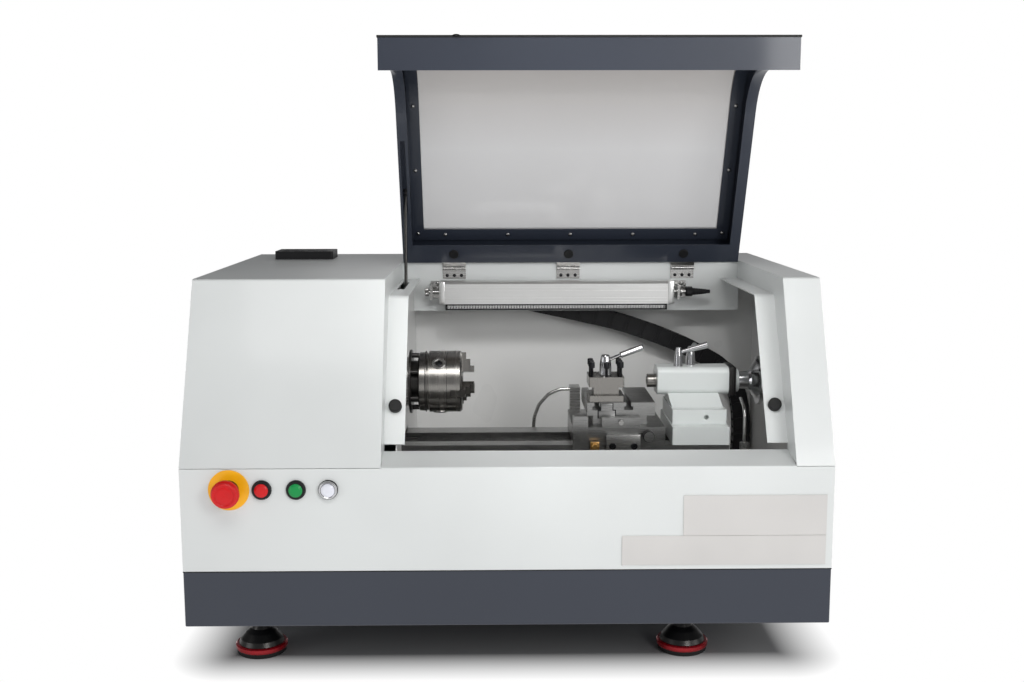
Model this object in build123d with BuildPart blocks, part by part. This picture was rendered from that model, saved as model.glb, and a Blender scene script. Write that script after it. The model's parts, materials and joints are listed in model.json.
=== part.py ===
from build123d import *
import os
from math import atan2, cos, degrees, radians, sin, tan

os.makedirs("parts", exist_ok=True)

# Bench lathe in a sheet-metal cabinet with a hinged, glazed lid.
# Millimetres. +Z is up, the operator stands on the -Y side, the chuck is on the left (-X).
# The origin is on the floor, under the middle of the whole machine. The lid stands open.

# Driving dimensions of the cabinet
body_half_width = 480.0
front_y = -313.0
back_y = 347.0
tray_bottom = 93.0
tray_top = 177.0
bend_z = 334.0
slope_top_y = -192.4
top_z = 600.0
rear_seam_y = 157.0
channel_left = -186.0
channel_right = 423.5
rail_width = 31.0
rail_z = 568.0
rail_bend_y = -136.0
ledge_back_y = -255.0
ledge_back_z = 346.4
rail_end_z = 355.7
apron_bottom = 509.0
sheet = 2.0
bend_radius = 5.0

# Chamber inside the cabinet
chamber_left = -169.0
chamber_right = 464.0
chamber_front = ledge_back_y + 2.5
chamber_back = 202.0
spindle_opening = 46.0

# Lathe
spindle_y = -82.0
spindle_z = 421.0
bed_top = 332.0
front_way = (-163.0, -134.0)
rear_way = (-70.0, -30.0)
screw_y = -102.0
screw_z = 300.0
running_gap = 0.06

# Lid, described closed: "reach" runs forward from the hinge pin, "rise" outward from it
hinge_y = 154.0
hinge_z = 587.0
lid_middle_x = (channel_left + channel_right) / 2
lid_width = 607.0
lid_depth = 48.0
lid_nose_depth = 32.0
lid_sheet = 1.5
lid_rear_reach = 11.8
lid_bend_reach = 381.8
lid_nose_reach = 506.8
lid_nose_rise = -227.7
lid_outer_radius = 121.0
lid_open_angle = 65.5
lid_side_flange = 18.0
lid_hinge_flange = 35.0
pane_width = 534.0
pane_margin = 15.0
pane_thickness = 4.0
hinge_centres = (-93.0, 114.0, 322.0)
hinge_leaf_width = 42.0

# Lid stay: a rod on a pivot under the left rail, its end loose in a slot of the lid
stay_x = -176.0
stay_pivot_y = 84.0
stay_pivot_z = 527.0
stay_length = 205.6
stay_angle = 82.96
stay_slot = (-34.0, 98.0)

# Feet, lamp and controls
feet_x = (-395.0, 281.0)
feet_y = (-178.0, 212.0)
stud_radius = 8.0
lamp_y = 130.0
lamp_z = 546.0
lamp_left = -109.0
lamp_right = 291.0
control_z = 302.0
button_hole = 11.0
estop_x = -408.0
button_x = {"red": -360.0, "green": -310.0, "white": -263.0}


def save(piece, name):
    piece.part.label = name
    export_step(piece.part, f"parts/{name}.step")


def block(x, y, z, mode=Mode.ADD):
    """A box given by its (low, high) limits along each axis."""
    middle = ((x[0] + x[1]) / 2, (y[0] + y[1]) / 2, (z[0] + z[1]) / 2)
    with Locations(middle):
        Box(x[1] - x[0], y[1] - y[0], z[1] - z[0], mode=mode)


def outline_x(points, x, mode=Mode.ADD):
    """An outline of (y, z) points, extruded over the x limits."""
    with BuildSketch(Plane.YZ.offset(x[0])) as face:
        with BuildLine():
            Polyline(*points, close=True)
        make_face()
    extrude(face.sketch, amount=x[1] - x[0], mode=mode)


def bent_sheet(points, x, thickness=sheet, radius=bend_radius):
    """A folded sheet along (y, z) points, its thickness on the right of the path."""
    with BuildSketch(Plane.YZ.offset(x[0])) as face:
        with BuildLine():
            FilletPolyline(*points, radius=radius)
            offset(amount=thickness, side=Side.RIGHT)
        make_face()
    extrude(face.sketch, amount=x[1] - x[0])


def disc_x(x, y, z, radius, mode=Mode.ADD):
    """A cylinder along X between two x limits."""
    with BuildSketch(Plane.YZ.offset(x[0])) as face:
        with Locations((y, z)):
            Circle(radius)
    extrude(face.sketch, amount=x[1] - x[0], mode=mode)


def disc_y(y, x, z, radius, mode=Mode.ADD):
    """A cylinder along Y between two y limits."""
    with BuildSketch(Plane.XZ.offset(-y[1])) as face:
        with Locations((x, z)):
            Circle(radius)
    extrude(face.sketch, amount=y[1] - y[0], mode=mode)


def disc_z(z, x, y, radius, mode=Mode.ADD):
    """A cylinder along Z between two z limits."""
    with BuildSketch(Plane.XY.offset(z[0])) as face:
        with Locations((x, y)):
            Circle(radius)
    extrude(face.sketch, amount=z[1] - z[0], mode=mode)


def turned_x(points, y, z, mode=Mode.ADD):
    """A turned piece about a line along X, from (x, radius) points."""
    with BuildSketch(Plane((0, y, z), x_dir=(1, 0, 0), z_dir=(0, -1, 0))) as face:
        with BuildLine():
            Polyline(*points, close=True)
        make_face()
    revolve(face.sketch, axis=Axis((0, y, z), (1, 0, 0)), mode=mode)


def turned_z(points, x, y, mode=Mode.ADD):
    """A turned piece about an upright line, from (radius, z) points."""
    with BuildSketch(Plane((x, y, 0), x_dir=(1, 0, 0), z_dir=(0, -1, 0))) as face:
        with BuildLine():
            Polyline(*points, close=True)
        make_face()
    revolve(face.sketch, axis=Axis((x, y, 0), (0, 0, 1)), mode=mode)


def turned_y(points, x, z, mode=Mode.ADD):
    """A turned piece about a line along Y, from (radius, y) points."""
    with BuildSketch(Plane((x, 0, z), x_dir=(1, 0, 0), z_dir=(0, 0, 1))) as face:
        with BuildLine():
            Polyline(*points, close=True)
        make_face()
    revolve(face.sketch, axis=Axis((x, 0, z), (0, 1, 0)), mode=mode)


# ---------------------------------------------------------------- cabinet

body = (-body_half_width, body_half_width)
channel = (channel_left, channel_right)
beam_half_width = 30.0
middle_beam_x = -60.0

with BuildPart() as base_tray:
    with BuildSketch(Plane.XZ.offset(-back_y)):
        with Locations((0, (tray_bottom + tray_top) / 2)):
            Rectangle(2 * body_half_width, tray_top - tray_bottom)
    extrude(amount=back_y - front_y)
    fillet(base_tray.edges().filter_by(Axis.Y).group_by(Axis.Z)[0], radius=2)
    fillet(base_tray.edges().filter_by(Axis.X).group_by(Axis.Z)[0], radius=2)
    block((-477.5, 477.5), (front_y + 2.5, back_y - 2.5), (tray_bottom + 2.5, tray_top), Mode.SUBTRACT)
    for beam_x in (feet_x[0], middle_beam_x, feet_x[1]):
        block((beam_x - beam_half_width, beam_x + beam_half_width), (front_y + 2, back_y - 2),
              (tray_bottom + 1, tray_top))
    for x in feet_x:
        for y in feet_y:
            disc_z((tray_bottom - 1, tray_bottom + 15), x, y, stud_radius, Mode.SUBTRACT)
save(base_tray, "base_tray")

with BuildPart() as front_panel:
    block(body, (front_y, front_y + sheet), (tray_top, bend_z - 6))
    block((body[0], channel_left), (front_y, front_y + sheet), (bend_z - 7, bend_z - 1))
    block((channel_right, body[1]), (front_y, front_y + sheet), (bend_z - 7, bend_z - 1))
    bent_sheet([(front_y, tray_top + 40), (front_y, bend_z), (ledge_back_y, ledge_back_z),
                (ledge_back_y, ledge_back_z - 16)], channel, radius=3)
    for x in (estop_x, *button_x.values()):
        disc_y((front_y - 1, front_y + 5), x, control_z, button_hole, Mode.SUBTRACT)
save(front_panel, "front_panel")


def cover(outer_x, channel_x, inward):
    """One end cover: sloped front and flat top in one sheet, two side walls and the lid rail."""
    full = sorted((outer_x, channel_x))
    bent_sheet([(front_y, bend_z), (slope_top_y, top_z), (rear_seam_y, top_z)], full)
    outer_wall = sorted((outer_x, outer_x + inward * sheet))
    outline_x([(front_y + sheet, tray_top), (front_y + sheet, bend_z - 6), (front_y + 6, bend_z + 6),
               (slope_top_y + 3, top_z - 1), (rear_seam_y, top_z - 1), (rear_seam_y, tray_top)], outer_wall)
    channel_wall = sorted((channel_x, channel_x - inward * sheet))
    outline_x([(front_y + 3, bend_z + 3), (slope_top_y + 3, top_z - 1), (rear_seam_y, top_z - 1),
               (rear_seam_y, rail_z - sheet), (rail_bend_y, rail_z - sheet),
               (ledge_back_y, ledge_back_z - 4)], channel_wall)
    rail = sorted((channel_x - inward * 1, channel_x + inward * rail_width))
    bent_sheet([(ledge_back_y, rail_end_z), (rail_bend_y, rail_z), (rear_seam_y, rail_z)], rail, radius=10)


with BuildPart() as left_cover:
    cover(-body_half_width, channel_left, 1)
    block((stay_x - 6.5, stay_x + 6.5), stay_slot, (rail_z - 6, rail_z + 6), Mode.SUBTRACT)
    block((channel_left - sheet, channel_left), (stay_pivot_y - 12, stay_pivot_y + 12),
          (stay_pivot_z - 12, rail_z - 1))
    disc_x((channel_left - 1, stay_x + 6), stay_pivot_y, stay_pivot_z, 3)
save(left_cover, "left_cover")

with BuildPart() as right_cover:
    cover(body_half_width, channel_right, -1)
save(right_cover, "right_cover")

with BuildPart() as rear_housing:
    block((body[0], channel_left - sheet), (rear_seam_y, back_y), (top_z - sheet, top_z))
    block((channel_right + sheet, body[1]), (rear_seam_y, back_y), (top_z - sheet, top_z))
    block((channel_left - 3, channel_right + 3), (rear_seam_y + 25, back_y), (top_z - sheet, top_z))
    block(body, (back_y - sheet, back_y), (tray_top, top_z))
    for side in (-body_half_width, body_half_width - sheet):
        block((side, side + sheet), (rear_seam_y, back_y), (tray_top, top_z))
    bent_sheet([(rear_seam_y, apron_bottom), (rear_seam_y, top_z), (rear_seam_y + 26, top_z)],
               (channel_left - sheet, channel_right + sheet), radius=6)
save(rear_housing, "rear_housing")

with BuildPart() as chamber_liner:
    wall_top = rail_z - sheet - 4
    outline_x([(chamber_front, tray_top), (chamber_front, ledge_back_z - 6), (rail_bend_y, wall_top),
               (chamber_back, wall_top), (chamber_back, tray_top)], (chamber_left, chamber_right))
    block((chamber_left + sheet, chamber_right - sheet), (chamber_front + sheet, chamber_back - sheet),
          (tray_top + sheet, top_z), Mode.SUBTRACT)
    left_wall = (chamber_left - 1, chamber_left + 5)
    block(left_wall, (front_way[0] - 6, rear_way[1] + 6), (tray_top + 20, bed_top + 6), Mode.SUBTRACT)
    disc_x(left_wall, spindle_y, spindle_z, spindle_opening, Mode.SUBTRACT)
    block(left_wall, (rear_seam_y, rear_seam_y + sheet), (apron_bottom, rail_z), Mode.SUBTRACT)
save(chamber_liner, "chamber_liner")

with BuildPart() as vent_box:
    block((-427, -320), (205, 275), (top_z, top_z + 15))
    fillet(vent_box.edges().filter_by(Axis.Z), radius=4)
    for slot_y in range(215, 270, 10):
        block((-415, -332), (slot_y - 2, slot_y + 2), (top_z + 11, top_z + 16), Mode.SUBTRACT)
save(vent_box, "vent_box")

with BuildPart() as name_plates:
    plate_depth = (front_y - 1.5, front_y)
    block((258.4, 470), plate_depth, (229.9, 290.6))
    block((168, 470), plate_depth, (185, 229.4))
save(name_plates, "name_plates")

rail_slope = degrees(atan2(rail_z - rail_end_z, rail_bend_y - ledge_back_y))
bumper_y = -226.0
bumper_z = rail_end_z + (bumper_y - ledge_back_y) * tan(radians(rail_slope))
rail_normal = (0, -sin(radians(rail_slope)), cos(radians(rail_slope)))
with BuildPart() as rail_bumpers:
    for bumper_x in (channel_left + rail_width / 2, channel_right - rail_width / 2):
        with BuildSketch(Plane((bumper_x, bumper_y, bumper_z), x_dir=(1, 0, 0), z_dir=rail_normal)):
            Circle(10)
        extrude(amount=9)
    fillet(rail_bumpers.edges().filter_by(GeomType.CIRCLE).group_by(Axis.Y)[0], radius=2)
save(rail_bumpers, "rail_bumpers")

# ---------------------------------------------------------------- feet

foot_places = [(x, y) for x in feet_x for y in feet_y]

with BuildPart() as foot_pads:
    for x, y in foot_places:
        turned_z([(0, 0), (37, 0), (39, 2), (39, 8), (0, 8)], x, y)
save(foot_pads, "foot_pads")

with BuildPart() as foot_rings:
    for x, y in foot_places:
        turned_z([(30, 8), (40, 8), (41, 10), (41, 15), (39, 17), (30, 17)], x, y)
save(foot_rings, "foot_rings")

with BuildPart() as foot_domes:
    for x, y in foot_places:
        turned_z([(0, 8), (30, 8), (30, 17), (36, 17), (33, 24), (24, 34), (16, 40), (13, 46), (0, 46)],
                 x, y)
save(foot_domes, "foot_domes")

with BuildPart() as foot_studs:
    for x, y in foot_places:
        disc_z((46, tray_bottom + 15), x, y, stud_radius)
        with BuildSketch(Plane.XY.offset(52)) as flats:
            with Locations((x, y)):
                RegularPolygon(radius=14, side_count=6)
        extrude(flats.sketch, amount=12)
save(foot_studs, "foot_studs")

# ---------------------------------------------------------------- controls

with BuildPart() as estop_plate:
    disc_y((front_y - 2, front_y), estop_x, control_z, 30)
    disc_y((front_y - 3, front_y + 1), estop_x, control_z, 12, Mode.SUBTRACT)
save(estop_plate, "estop_plate")

with BuildPart() as button_bezels:
    for x in button_x.values():
        turned_y([(10.1, front_y - 5), (13, front_y - 5), (14.5, front_y - 3), (14.5, front_y),
                  (10.9, front_y), (10.9, front_y + 45), (10.1, front_y + 45)], x, control_z)
    turned_y([(8.1, front_y - 7), (13, front_y - 7), (15, front_y - 2), (10.9, front_y - 2),
              (10.9, front_y + 55), (8.1, front_y + 55)], estop_x, control_z)
save(button_bezels, "button_bezels")

with BuildPart() as estop_button:
    turned_y([(0, -347), (10, -346.5), (17, -344.5), (20.5, -340), (20.5, -335), (17, -331), (12, -329),
              (8, -328), (8, -275), (0, -275)], estop_x, control_z)
save(estop_button, "estop_button")

for colour, x in button_x.items():
    with BuildPart() as button:
        turned_y([(0, front_y - 8.5), (7, front_y - 8), (10, front_y - 6.5), (10, front_y + 30),
                  (0, front_y + 30)], x, control_z)
    save(button, f"{colour}_button")

# ---------------------------------------------------------------- lid

open_cos = cos(radians(lid_open_angle))
open_sin = sin(radians(lid_open_angle))
lid_origin = (lid_middle_x, hinge_y, hinge_z)
lid_forward = (0, -open_cos, open_sin)
lid_outward = (0, open_sin, open_cos)
lid_side = Plane(lid_origin, x_dir=lid_forward, z_dir=(-1, 0, 0))
lid_inside = Plane(lid_origin, x_dir=(1, 0, 0), z_dir=(0, -open_sin, -open_cos))
nose_angle = atan2(lid_depth - lid_nose_rise, lid_nose_reach - lid_bend_reach)
nose_down = (cos(nose_angle), -sin(nose_angle))
nose_inward = (-sin(nose_angle), -cos(nose_angle))
half_turn = tan(nose_angle / 2)


def layer_line(depth, nose_depth, start, stop):
    """The lid's side outline, moved in from the outer skin by depth, and by nose_depth past the bend."""
    run = (depth - nose_depth * nose_down[0]) / -nose_down[1]
    corner = (lid_bend_reach + run * nose_down[0] + nose_depth * nose_inward[0], lid_depth - depth)
    nose = (lid_nose_reach - stop * nose_down[0] + nose_depth * nose_inward[0],
            lid_nose_rise - stop * nose_down[1] + nose_depth * nose_inward[1])
    return [(start, lid_depth - depth), corner, nose]


def lid_layer(depths, start, stop, width, mode=Mode.ADD, nose_shallower=0.0):
    """A layer of the lid between two depths, from start behind the bend to stop above the nose edge."""
    outer = layer_line(depths[0], depths[0], start, stop)
    inner = layer_line(depths[1], depths[1] - nose_shallower, start, stop)
    inner_radius = lid_outer_radius - depths[1] + 2.2 * nose_shallower
    with BuildSketch(lid_side) as face:
        with BuildLine():
            FilletPolyline(*outer, radius=lid_outer_radius - depths[0])
            FilletPolyline(*inner, radius=inner_radius)
            Line(outer[0], inner[0])
            Line(outer[2], inner[2])
        make_face()
    extrude(face.sketch, amount=width / 2, both=True, mode=mode)


def lid_block(x, reach, rise, mode=Mode.ADD):
    """A box in the lid's own frame: x limits, reach limits and rise limits."""
    with BuildSketch(lid_inside.offset(-rise[0])) as face:
        with Locations(((x[0] + x[1]) / 2 - lid_middle_x, (reach[0] + reach[1]) / 2)):
            Rectangle(x[1] - x[0], reach[1] - reach[0])
    extrude(face.sketch, amount=-(rise[1] - rise[0]), mode=mode)


def nose_point(depth, up):
    """A point of the nose's side outline, depth inside the outer skin and up from the nose edge."""
    return (lid_nose_reach + depth * nose_inward[0] - up * nose_down[0],
            lid_nose_rise + depth * nose_inward[1] - up * nose_down[1])


band_corners = [nose_point(0, 0), nose_point(lid_depth, 0), nose_point(lid_depth, lid_sheet),
                nose_point(0, lid_sheet)]

window_start = 58.0
window_stop = 26.0
hinge_pin_radius = 1.5
barrel_radius = 3.0
leaf_thickness = 1.5
leaf_reach = 28.0
knuckle = hinge_leaf_width / 5

with BuildPart() as lid_frame:
    shallower = lid_depth - lid_nose_depth
    lid_layer((0, lid_depth), lid_rear_reach, 0, lid_width, nose_shallower=shallower)
    lid_layer((lid_sheet, lid_depth - lid_sheet), lid_rear_reach + lid_sheet, lid_sheet,
              lid_width - 2 * lid_sheet, Mode.SUBTRACT, shallower)
    lid_layer((8, lid_depth + 8), lid_rear_reach + lid_hinge_flange, lid_sheet,
              lid_width - 2 * lid_side_flange, Mode.SUBTRACT, shallower)
    with BuildSketch(lid_side) as band_end:
        with BuildLine():
            Polyline(*band_corners, close=True)
        make_face()
    extrude(band_end.sketch, amount=lid_width / 2, both=True)
    lid_layer((-4, 4), window_start, window_stop, pane_width, Mode.SUBTRACT)
    notch = hinge_leaf_width / 2 + 0.5
    for x in hinge_centres:
        lid_block((x - notch, x + notch), (11, 14), (1.5, 3.2), Mode.SUBTRACT)
    lid_block((stay_x - 4.5, stay_x + 4.5), (112, 248), (-1, 3), Mode.SUBTRACT)
save(lid_frame, "lid_frame")

with BuildPart() as lid_pane:
    lid_layer((lid_sheet, lid_sheet + pane_thickness), window_start - pane_margin, window_stop - pane_margin,
              pane_width + 2 * pane_margin)
save(lid_pane, "lid_pane")

strip_width = 21.0
strip_depth = lid_sheet + pane_thickness
with BuildPart() as pane_strips:
    lid_layer((strip_depth, strip_depth + 2), window_start - strip_width, window_stop - strip_width,
              pane_width + 2 * strip_width)
    lid_layer((strip_depth - 2, strip_depth + 4), window_start, window_stop, pane_width, Mode.SUBTRACT)
save(pane_strips, "pane_strips")

strip_rise = lid_depth - strip_depth - 2
strip_middle = pane_width / 2 + strip_width / 2
screw_places = [(side * strip_middle, reach) for side in (-1, 1) for reach in (50, 175, 295)]
screw_places += [(step * 114, 48) for step in (-2, -1, 0, 1, 2)]
with BuildPart() as lid_screws:
    for place in screw_places:
        with BuildSketch(lid_inside.offset(-strip_rise)) as head:
            with Locations(place):
                Circle(3.2)
        extrude(head.sketch, amount=2)
save(lid_screws, "lid_screws")

with BuildPart() as lid_plugs:
    for x in hinge_centres:
        with BuildSketch(lid_inside) as head:
            with Locations((x - lid_middle_x, lid_rear_reach + lid_hinge_flange / 2)):
                Circle(8.5)
        extrude(head.sketch, amount=2.5)
    fillet(lid_plugs.edges().filter_by(GeomType.CIRCLE).sort_by(Axis.Y)[:3], radius=1.2)
save(lid_plugs, "lid_plugs")


def knuckles(x, which, bore):
    """Barrel segments of one hinge leaf about the hinge pin."""
    start = x - hinge_leaf_width / 2
    for index in which:
        span = (start + index * knuckle + 0.15, start + (index + 1) * knuckle - 0.15)
        disc_x(span, hinge_y, hinge_z, barrel_radius)
        disc_x(span, hinge_y, hinge_z, bore, Mode.SUBTRACT)


with BuildPart() as hinge_leaves_fixed:
    for x in hinge_centres:
        leaf_x = (x - hinge_leaf_width / 2, x + hinge_leaf_width / 2)
        block(leaf_x, (rear_seam_y - leaf_thickness, rear_seam_y), (hinge_z - 19, hinge_z - 3.6))
        for index in (0, 2, 4):
            start = leaf_x[0] + index * knuckle
            block((start + 0.15, start + knuckle - 0.15), (rear_seam_y - leaf_thickness, rear_seam_y),
                  (hinge_z - 4, hinge_z))
        knuckles(x, (0, 2, 4), hinge_pin_radius)
        disc_x(leaf_x, hinge_y, hinge_z, hinge_pin_radius)
save(hinge_leaves_fixed, "hinge_leaves_fixed")

with BuildPart() as hinge_leaves_lid:
    for x in hinge_centres:
        leaf_x = (x - hinge_leaf_width / 2, x + hinge_leaf_width / 2)
        lid_block(leaf_x, (3.6, leaf_reach), (lid_sheet, lid_sheet + leaf_thickness))
        for index in (1, 3):
            start = leaf_x[0] + index * knuckle
            lid_block((start + 0.15, start + knuckle - 0.15), (0, 4),
                      (lid_sheet, lid_sheet + leaf_thickness))
        knuckles(x, (1, 3), hinge_pin_radius + running_gap)
save(hinge_leaves_lid, "hinge_leaves_lid")

stay_cos = cos(radians(stay_angle))
stay_sin = sin(radians(stay_angle))
with BuildPart() as lid_stay:
    disc_x((stay_x - 3.5, stay_x + 3.5), stay_pivot_y, stay_pivot_z, 7)
    stay_foot = Plane((stay_x, stay_pivot_y, stay_pivot_z), x_dir=(1, 0, 0), z_dir=(0, stay_cos, stay_sin))
    with BuildSketch(stay_foot.offset(5)):
        Circle(2.8)
    extrude(amount=stay_length - 5)
    disc_x((stay_x - 4, stay_x + 4), stay_pivot_y, stay_pivot_z, 3 + running_gap, Mode.SUBTRACT)
save(lid_stay, "lid_stay")

# ---------------------------------------------------------------- lamp

lamp_front = lamp_y - 18.0
lamp_back = lamp_y + 18.0
lamp_bottom = lamp_z - 20.0
lamp_top = lamp_z + 20.0
trunnion_radius = 4.0

with BuildPart() as lamp_housing:
    lamp_profile = [(lamp_front, lamp_bottom), (lamp_front, lamp_top - 4), (lamp_front + 4, lamp_top),
                    (lamp_back - 4, lamp_top), (lamp_back, lamp_top - 4), (lamp_back, lamp_bottom)]
    outline_x(lamp_profile, (lamp_left, lamp_right))
    past_ends = (lamp_left - 1, lamp_right + 1)
    block(past_ends, (lamp_front + 3, lamp_back - 3), (lamp_bottom - 1, lamp_z - 2), Mode.SUBTRACT)
    for groove_z in (532, 537, 550, 556):
        block(past_ends, (lamp_front - 1, lamp_front + 1.5), (groove_z, groove_z + 2), Mode.SUBTRACT)
save(lamp_housing, "lamp_housing")

with BuildPart() as lamp_lens:
    block((lamp_left + 1, lamp_right - 1), (lamp_front + 3, lamp_back - 3),
          (lamp_bottom - 11, lamp_bottom + 6))
    fillet(lamp_lens.edges().filter_by(Axis.X).group_by(Axis.Z)[0], radius=4)
save(lamp_lens, "lamp_lens")

with BuildPart() as lamp_ends:
    for cap, pin in (((lamp_left - 10, lamp_left), (lamp_left - 32, lamp_left - 9)),
                     ((lamp_right, lamp_right + 11), (lamp_right + 10, lamp_right + 34))):
        block(cap, (lamp_front, lamp_back), (lamp_bottom, lamp_top))
        disc_x(pin, lamp_y, lamp_z, trunnion_radius)
    disc_x((lamp_left - 36, lamp_left - 30), lamp_y, lamp_z, 7)
    turned_x([(lamp_right + 33, 0), (lamp_right + 33, 9), (lamp_right + 45, 9), (lamp_right + 47, 7),
              (lamp_right + 66, 7), (lamp_right + 78, 4), (lamp_right + 78, 0)], lamp_y, lamp_z)
save(lamp_ends, "lamp_ends")

with BuildPart() as lamp_brackets:
    for plate in ((lamp_left - 26, lamp_left - 22), (lamp_right + 18, lamp_right + 22)):
        block(plate, (lamp_y - 12, rear_seam_y), (lamp_z - 13, lamp_z + 13))
        block((plate[0] - 1, plate[1] + 16), (rear_seam_y - 3, rear_seam_y), (lamp_z - 13, lamp_z + 18))
        disc_x((plate[0] - 1, plate[1] + 1), lamp_y, lamp_z, trunnion_radius + running_gap, Mode.SUBTRACT)
save(lamp_brackets, "lamp_brackets")

# ---------------------------------------------------------------- bed, headstock and drive

bed_left = -400.0
bed_right = 353.0
bed_slab = 222.0

with BuildPart() as bed:
    block((bed_left, bed_right), (front_way[0], rear_way[1]), (bed_slab, bed_slab + 40))
    block((bed_left, bed_right), front_way, (bed_slab, bed_top))
    block((bed_left, bed_right), rear_way, (bed_slab, bed_top))
    for foot in ((-390, -330), (-40, 20), (270, 340)):
        block(foot, (front_way[0] + 5, rear_way[1] - 5), (tray_top + sheet, bed_slab))
    for rib in ((-345, -325), (330, 350)):
        block(rib, (front_way[1], rear_way[0]), (bed_slab, bed_top - 8))
        disc_x((rib[0] - 1, rib[1] + 1), screw_y, screw_z, 6 + running_gap, Mode.SUBTRACT)
save(bed, "bed")

bearing_outer = 31.0
journal = 17.5
bearing_spans = ((-386, -372), (-206, -192))

with BuildPart() as headstock:
    block((-390, -188), (-162, -8), (bed_top, 505))
    fillet(headstock.edges().filter_by(Axis.X).group_by(Axis.Z)[-1], radius=20)
    block((-372, -206), (-142, -24), (bed_top + 20, 485), Mode.SUBTRACT)
    disc_x((-391, -187), spindle_y, spindle_z, bearing_outer, Mode.SUBTRACT)
save(headstock, "headstock")

with BuildPart() as spindle_bearings:
    for span in bearing_spans:
        disc_x(span, spindle_y, spindle_z, bearing_outer)
        disc_x(span, spindle_y, spindle_z, journal + running_gap, Mode.SUBTRACT)
save(spindle_bearings, "spindle_bearings")

spindle_bore = 11.0
nose_face = -158.0
with BuildPart() as spindle:
    turned_x([(-436, spindle_bore), (-436, journal), (-176, journal), (-172, 40), (nose_face, 40),
              (nose_face, spindle_bore)], spindle_y, spindle_z)
save(spindle, "spindle")

belt_span = (-424.0, -404.0)
spindle_pulley_radius = 45.0
motor_pulley_radius = 30.0
motor_y = 70.0
motor_z = 262.0
with BuildPart() as spindle_pulley:
    disc_x(belt_span, spindle_y, spindle_z, spindle_pulley_radius)
    disc_x(belt_span, spindle_y, spindle_z, journal, Mode.SUBTRACT)
save(spindle_pulley, "spindle_pulley")

with BuildPart() as motors:
    disc_x((-396, -230), motor_y, motor_z, 58)
    block((-380, -250), (motor_y - 50, motor_y + 50), (tray_top, motor_z - 40))
    disc_x((-397, -360), motor_y, motor_z, 7 + running_gap, Mode.SUBTRACT)
    block((-395, -350), (screw_y - 24, screw_y + 24), (bed_slab + 42, bed_top))
    disc_x((-361, -345), screw_y, screw_z, 6 + running_gap, Mode.SUBTRACT)
save(motors, "motors")

with BuildPart() as motor_pulley:
    disc_x(belt_span, motor_y, motor_z, motor_pulley_radius)
    disc_x((belt_span[1] - 1, -362), motor_y, motor_z, 7)
save(motor_pulley, "motor_pulley")

belt_thickness = 3.0
belt_clearance = 0.5
with BuildPart() as drive_belt:
    with BuildSketch(Plane.YZ.offset(belt_span[0] + 2)):
        for extra, way in ((belt_clearance + belt_thickness, Mode.ADD), (belt_clearance, Mode.SUBTRACT)):
            with BuildSketch(mode=way):
                with Locations((spindle_y, spindle_z)):
                    Circle(spindle_pulley_radius + extra)
                with Locations((motor_y, motor_z)):
                    Circle(motor_pulley_radius + extra)
                make_hull()
    extrude(amount=belt_span[1] - belt_span[0] - 4)
save(drive_belt, "drive_belt")

# ---------------------------------------------------------------- chuck

chuck_back = -143.0
chuck_face = -72.5
chuck_radius = 50.0
jaw_width = 14.0
slot_depth = 18.0

with BuildPart() as chuck_backplate:
    turned_x([(nose_face, spindle_bore), (nose_face, 52), (nose_face + 3.5, 52), (nose_face + 3.5, 34),
              (chuck_back, 34), (chuck_back, spindle_bore)], spindle_y, spindle_z)
    for angle in (30, 90, 150, 210, 270, 330):
        stud_y = spindle_y + 43 * cos(radians(angle))
        stud_z = spindle_z + 43 * sin(radians(angle))
        disc_x((nose_face + 3, chuck_back), stud_y, stud_z, 4)
save(chuck_backplate, "chuck_backplate")


def jaw_plane(angle):
    """A plane through the chuck's axis whose local x points out along one jaw and whose normal is +X."""
    turn = radians(angle)
    return Plane((0, spindle_y, spindle_z), x_dir=(0, cos(turn), sin(turn)), z_dir=(1, 0, 0))


jaw_angles = (75, 195, 315)

with BuildPart() as chuck_body:
    turned_x([(chuck_back, spindle_bore), (chuck_back, 46), (chuck_back + 2, 48), (chuck_back + 13, 48),
              (chuck_back + 14, 46.5), (chuck_back + 16, 46.5), (chuck_back + 17, chuck_radius),
              (chuck_face - 3, chuck_radius), (chuck_face, chuck_radius - 3), (chuck_face, spindle_bore)],
             spindle_y, spindle_z)
    for angle in jaw_angles:
        with BuildSketch(jaw_plane(angle).offset(chuck_face - slot_depth)) as slot:
            with Locations((40, 0)):
                Rectangle(60, jaw_width)
        extrude(slot.sketch, amount=slot_depth + 1, mode=Mode.SUBTRACT)
    for angle in jaw_angles:
        turn = radians(angle - 60)
        socket = Plane((chuck_back + 34, spindle_y, spindle_z), x_dir=(1, 0, 0),
                       z_dir=(0, cos(turn), sin(turn)))
        with BuildSketch(socket.offset(chuck_radius - 6)) as pinion:
            Circle(11)
        extrude(pinion.sketch, amount=6)
        with BuildSketch(socket.offset(chuck_radius - 12)) as key:
            Rectangle(9, 9)
        extrude(key.sketch, amount=20, mode=Mode.SUBTRACT)
save(chuck_body, "chuck_body")

jaw_steps = ((15.0, 47.0, 6.0), (15.0, 36.0, 13.0), (15.0, 25.0, 19.5))
for number, angle in enumerate(jaw_angles, start=1):
    with BuildPart() as chuck_jaw:
        with BuildSketch(jaw_plane(angle).offset(chuck_face - slot_depth + 0.4)):
            with Locations((31, 0)):
                Rectangle(32, jaw_width - 0.6)
        extrude(amount=slot_depth)
        for inner, outer, height in jaw_steps:
            with BuildSketch(jaw_plane(angle).offset(chuck_face - 1)):
                with Locations(((inner + outer) / 2, 0)):
                    Rectangle(outer - inner, jaw_width - 0.6)
            extrude(amount=height + 1)
    save(chuck_jaw, f"chuck_jaw_{number}")

# ---------------------------------------------------------------- carriage and slides

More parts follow.
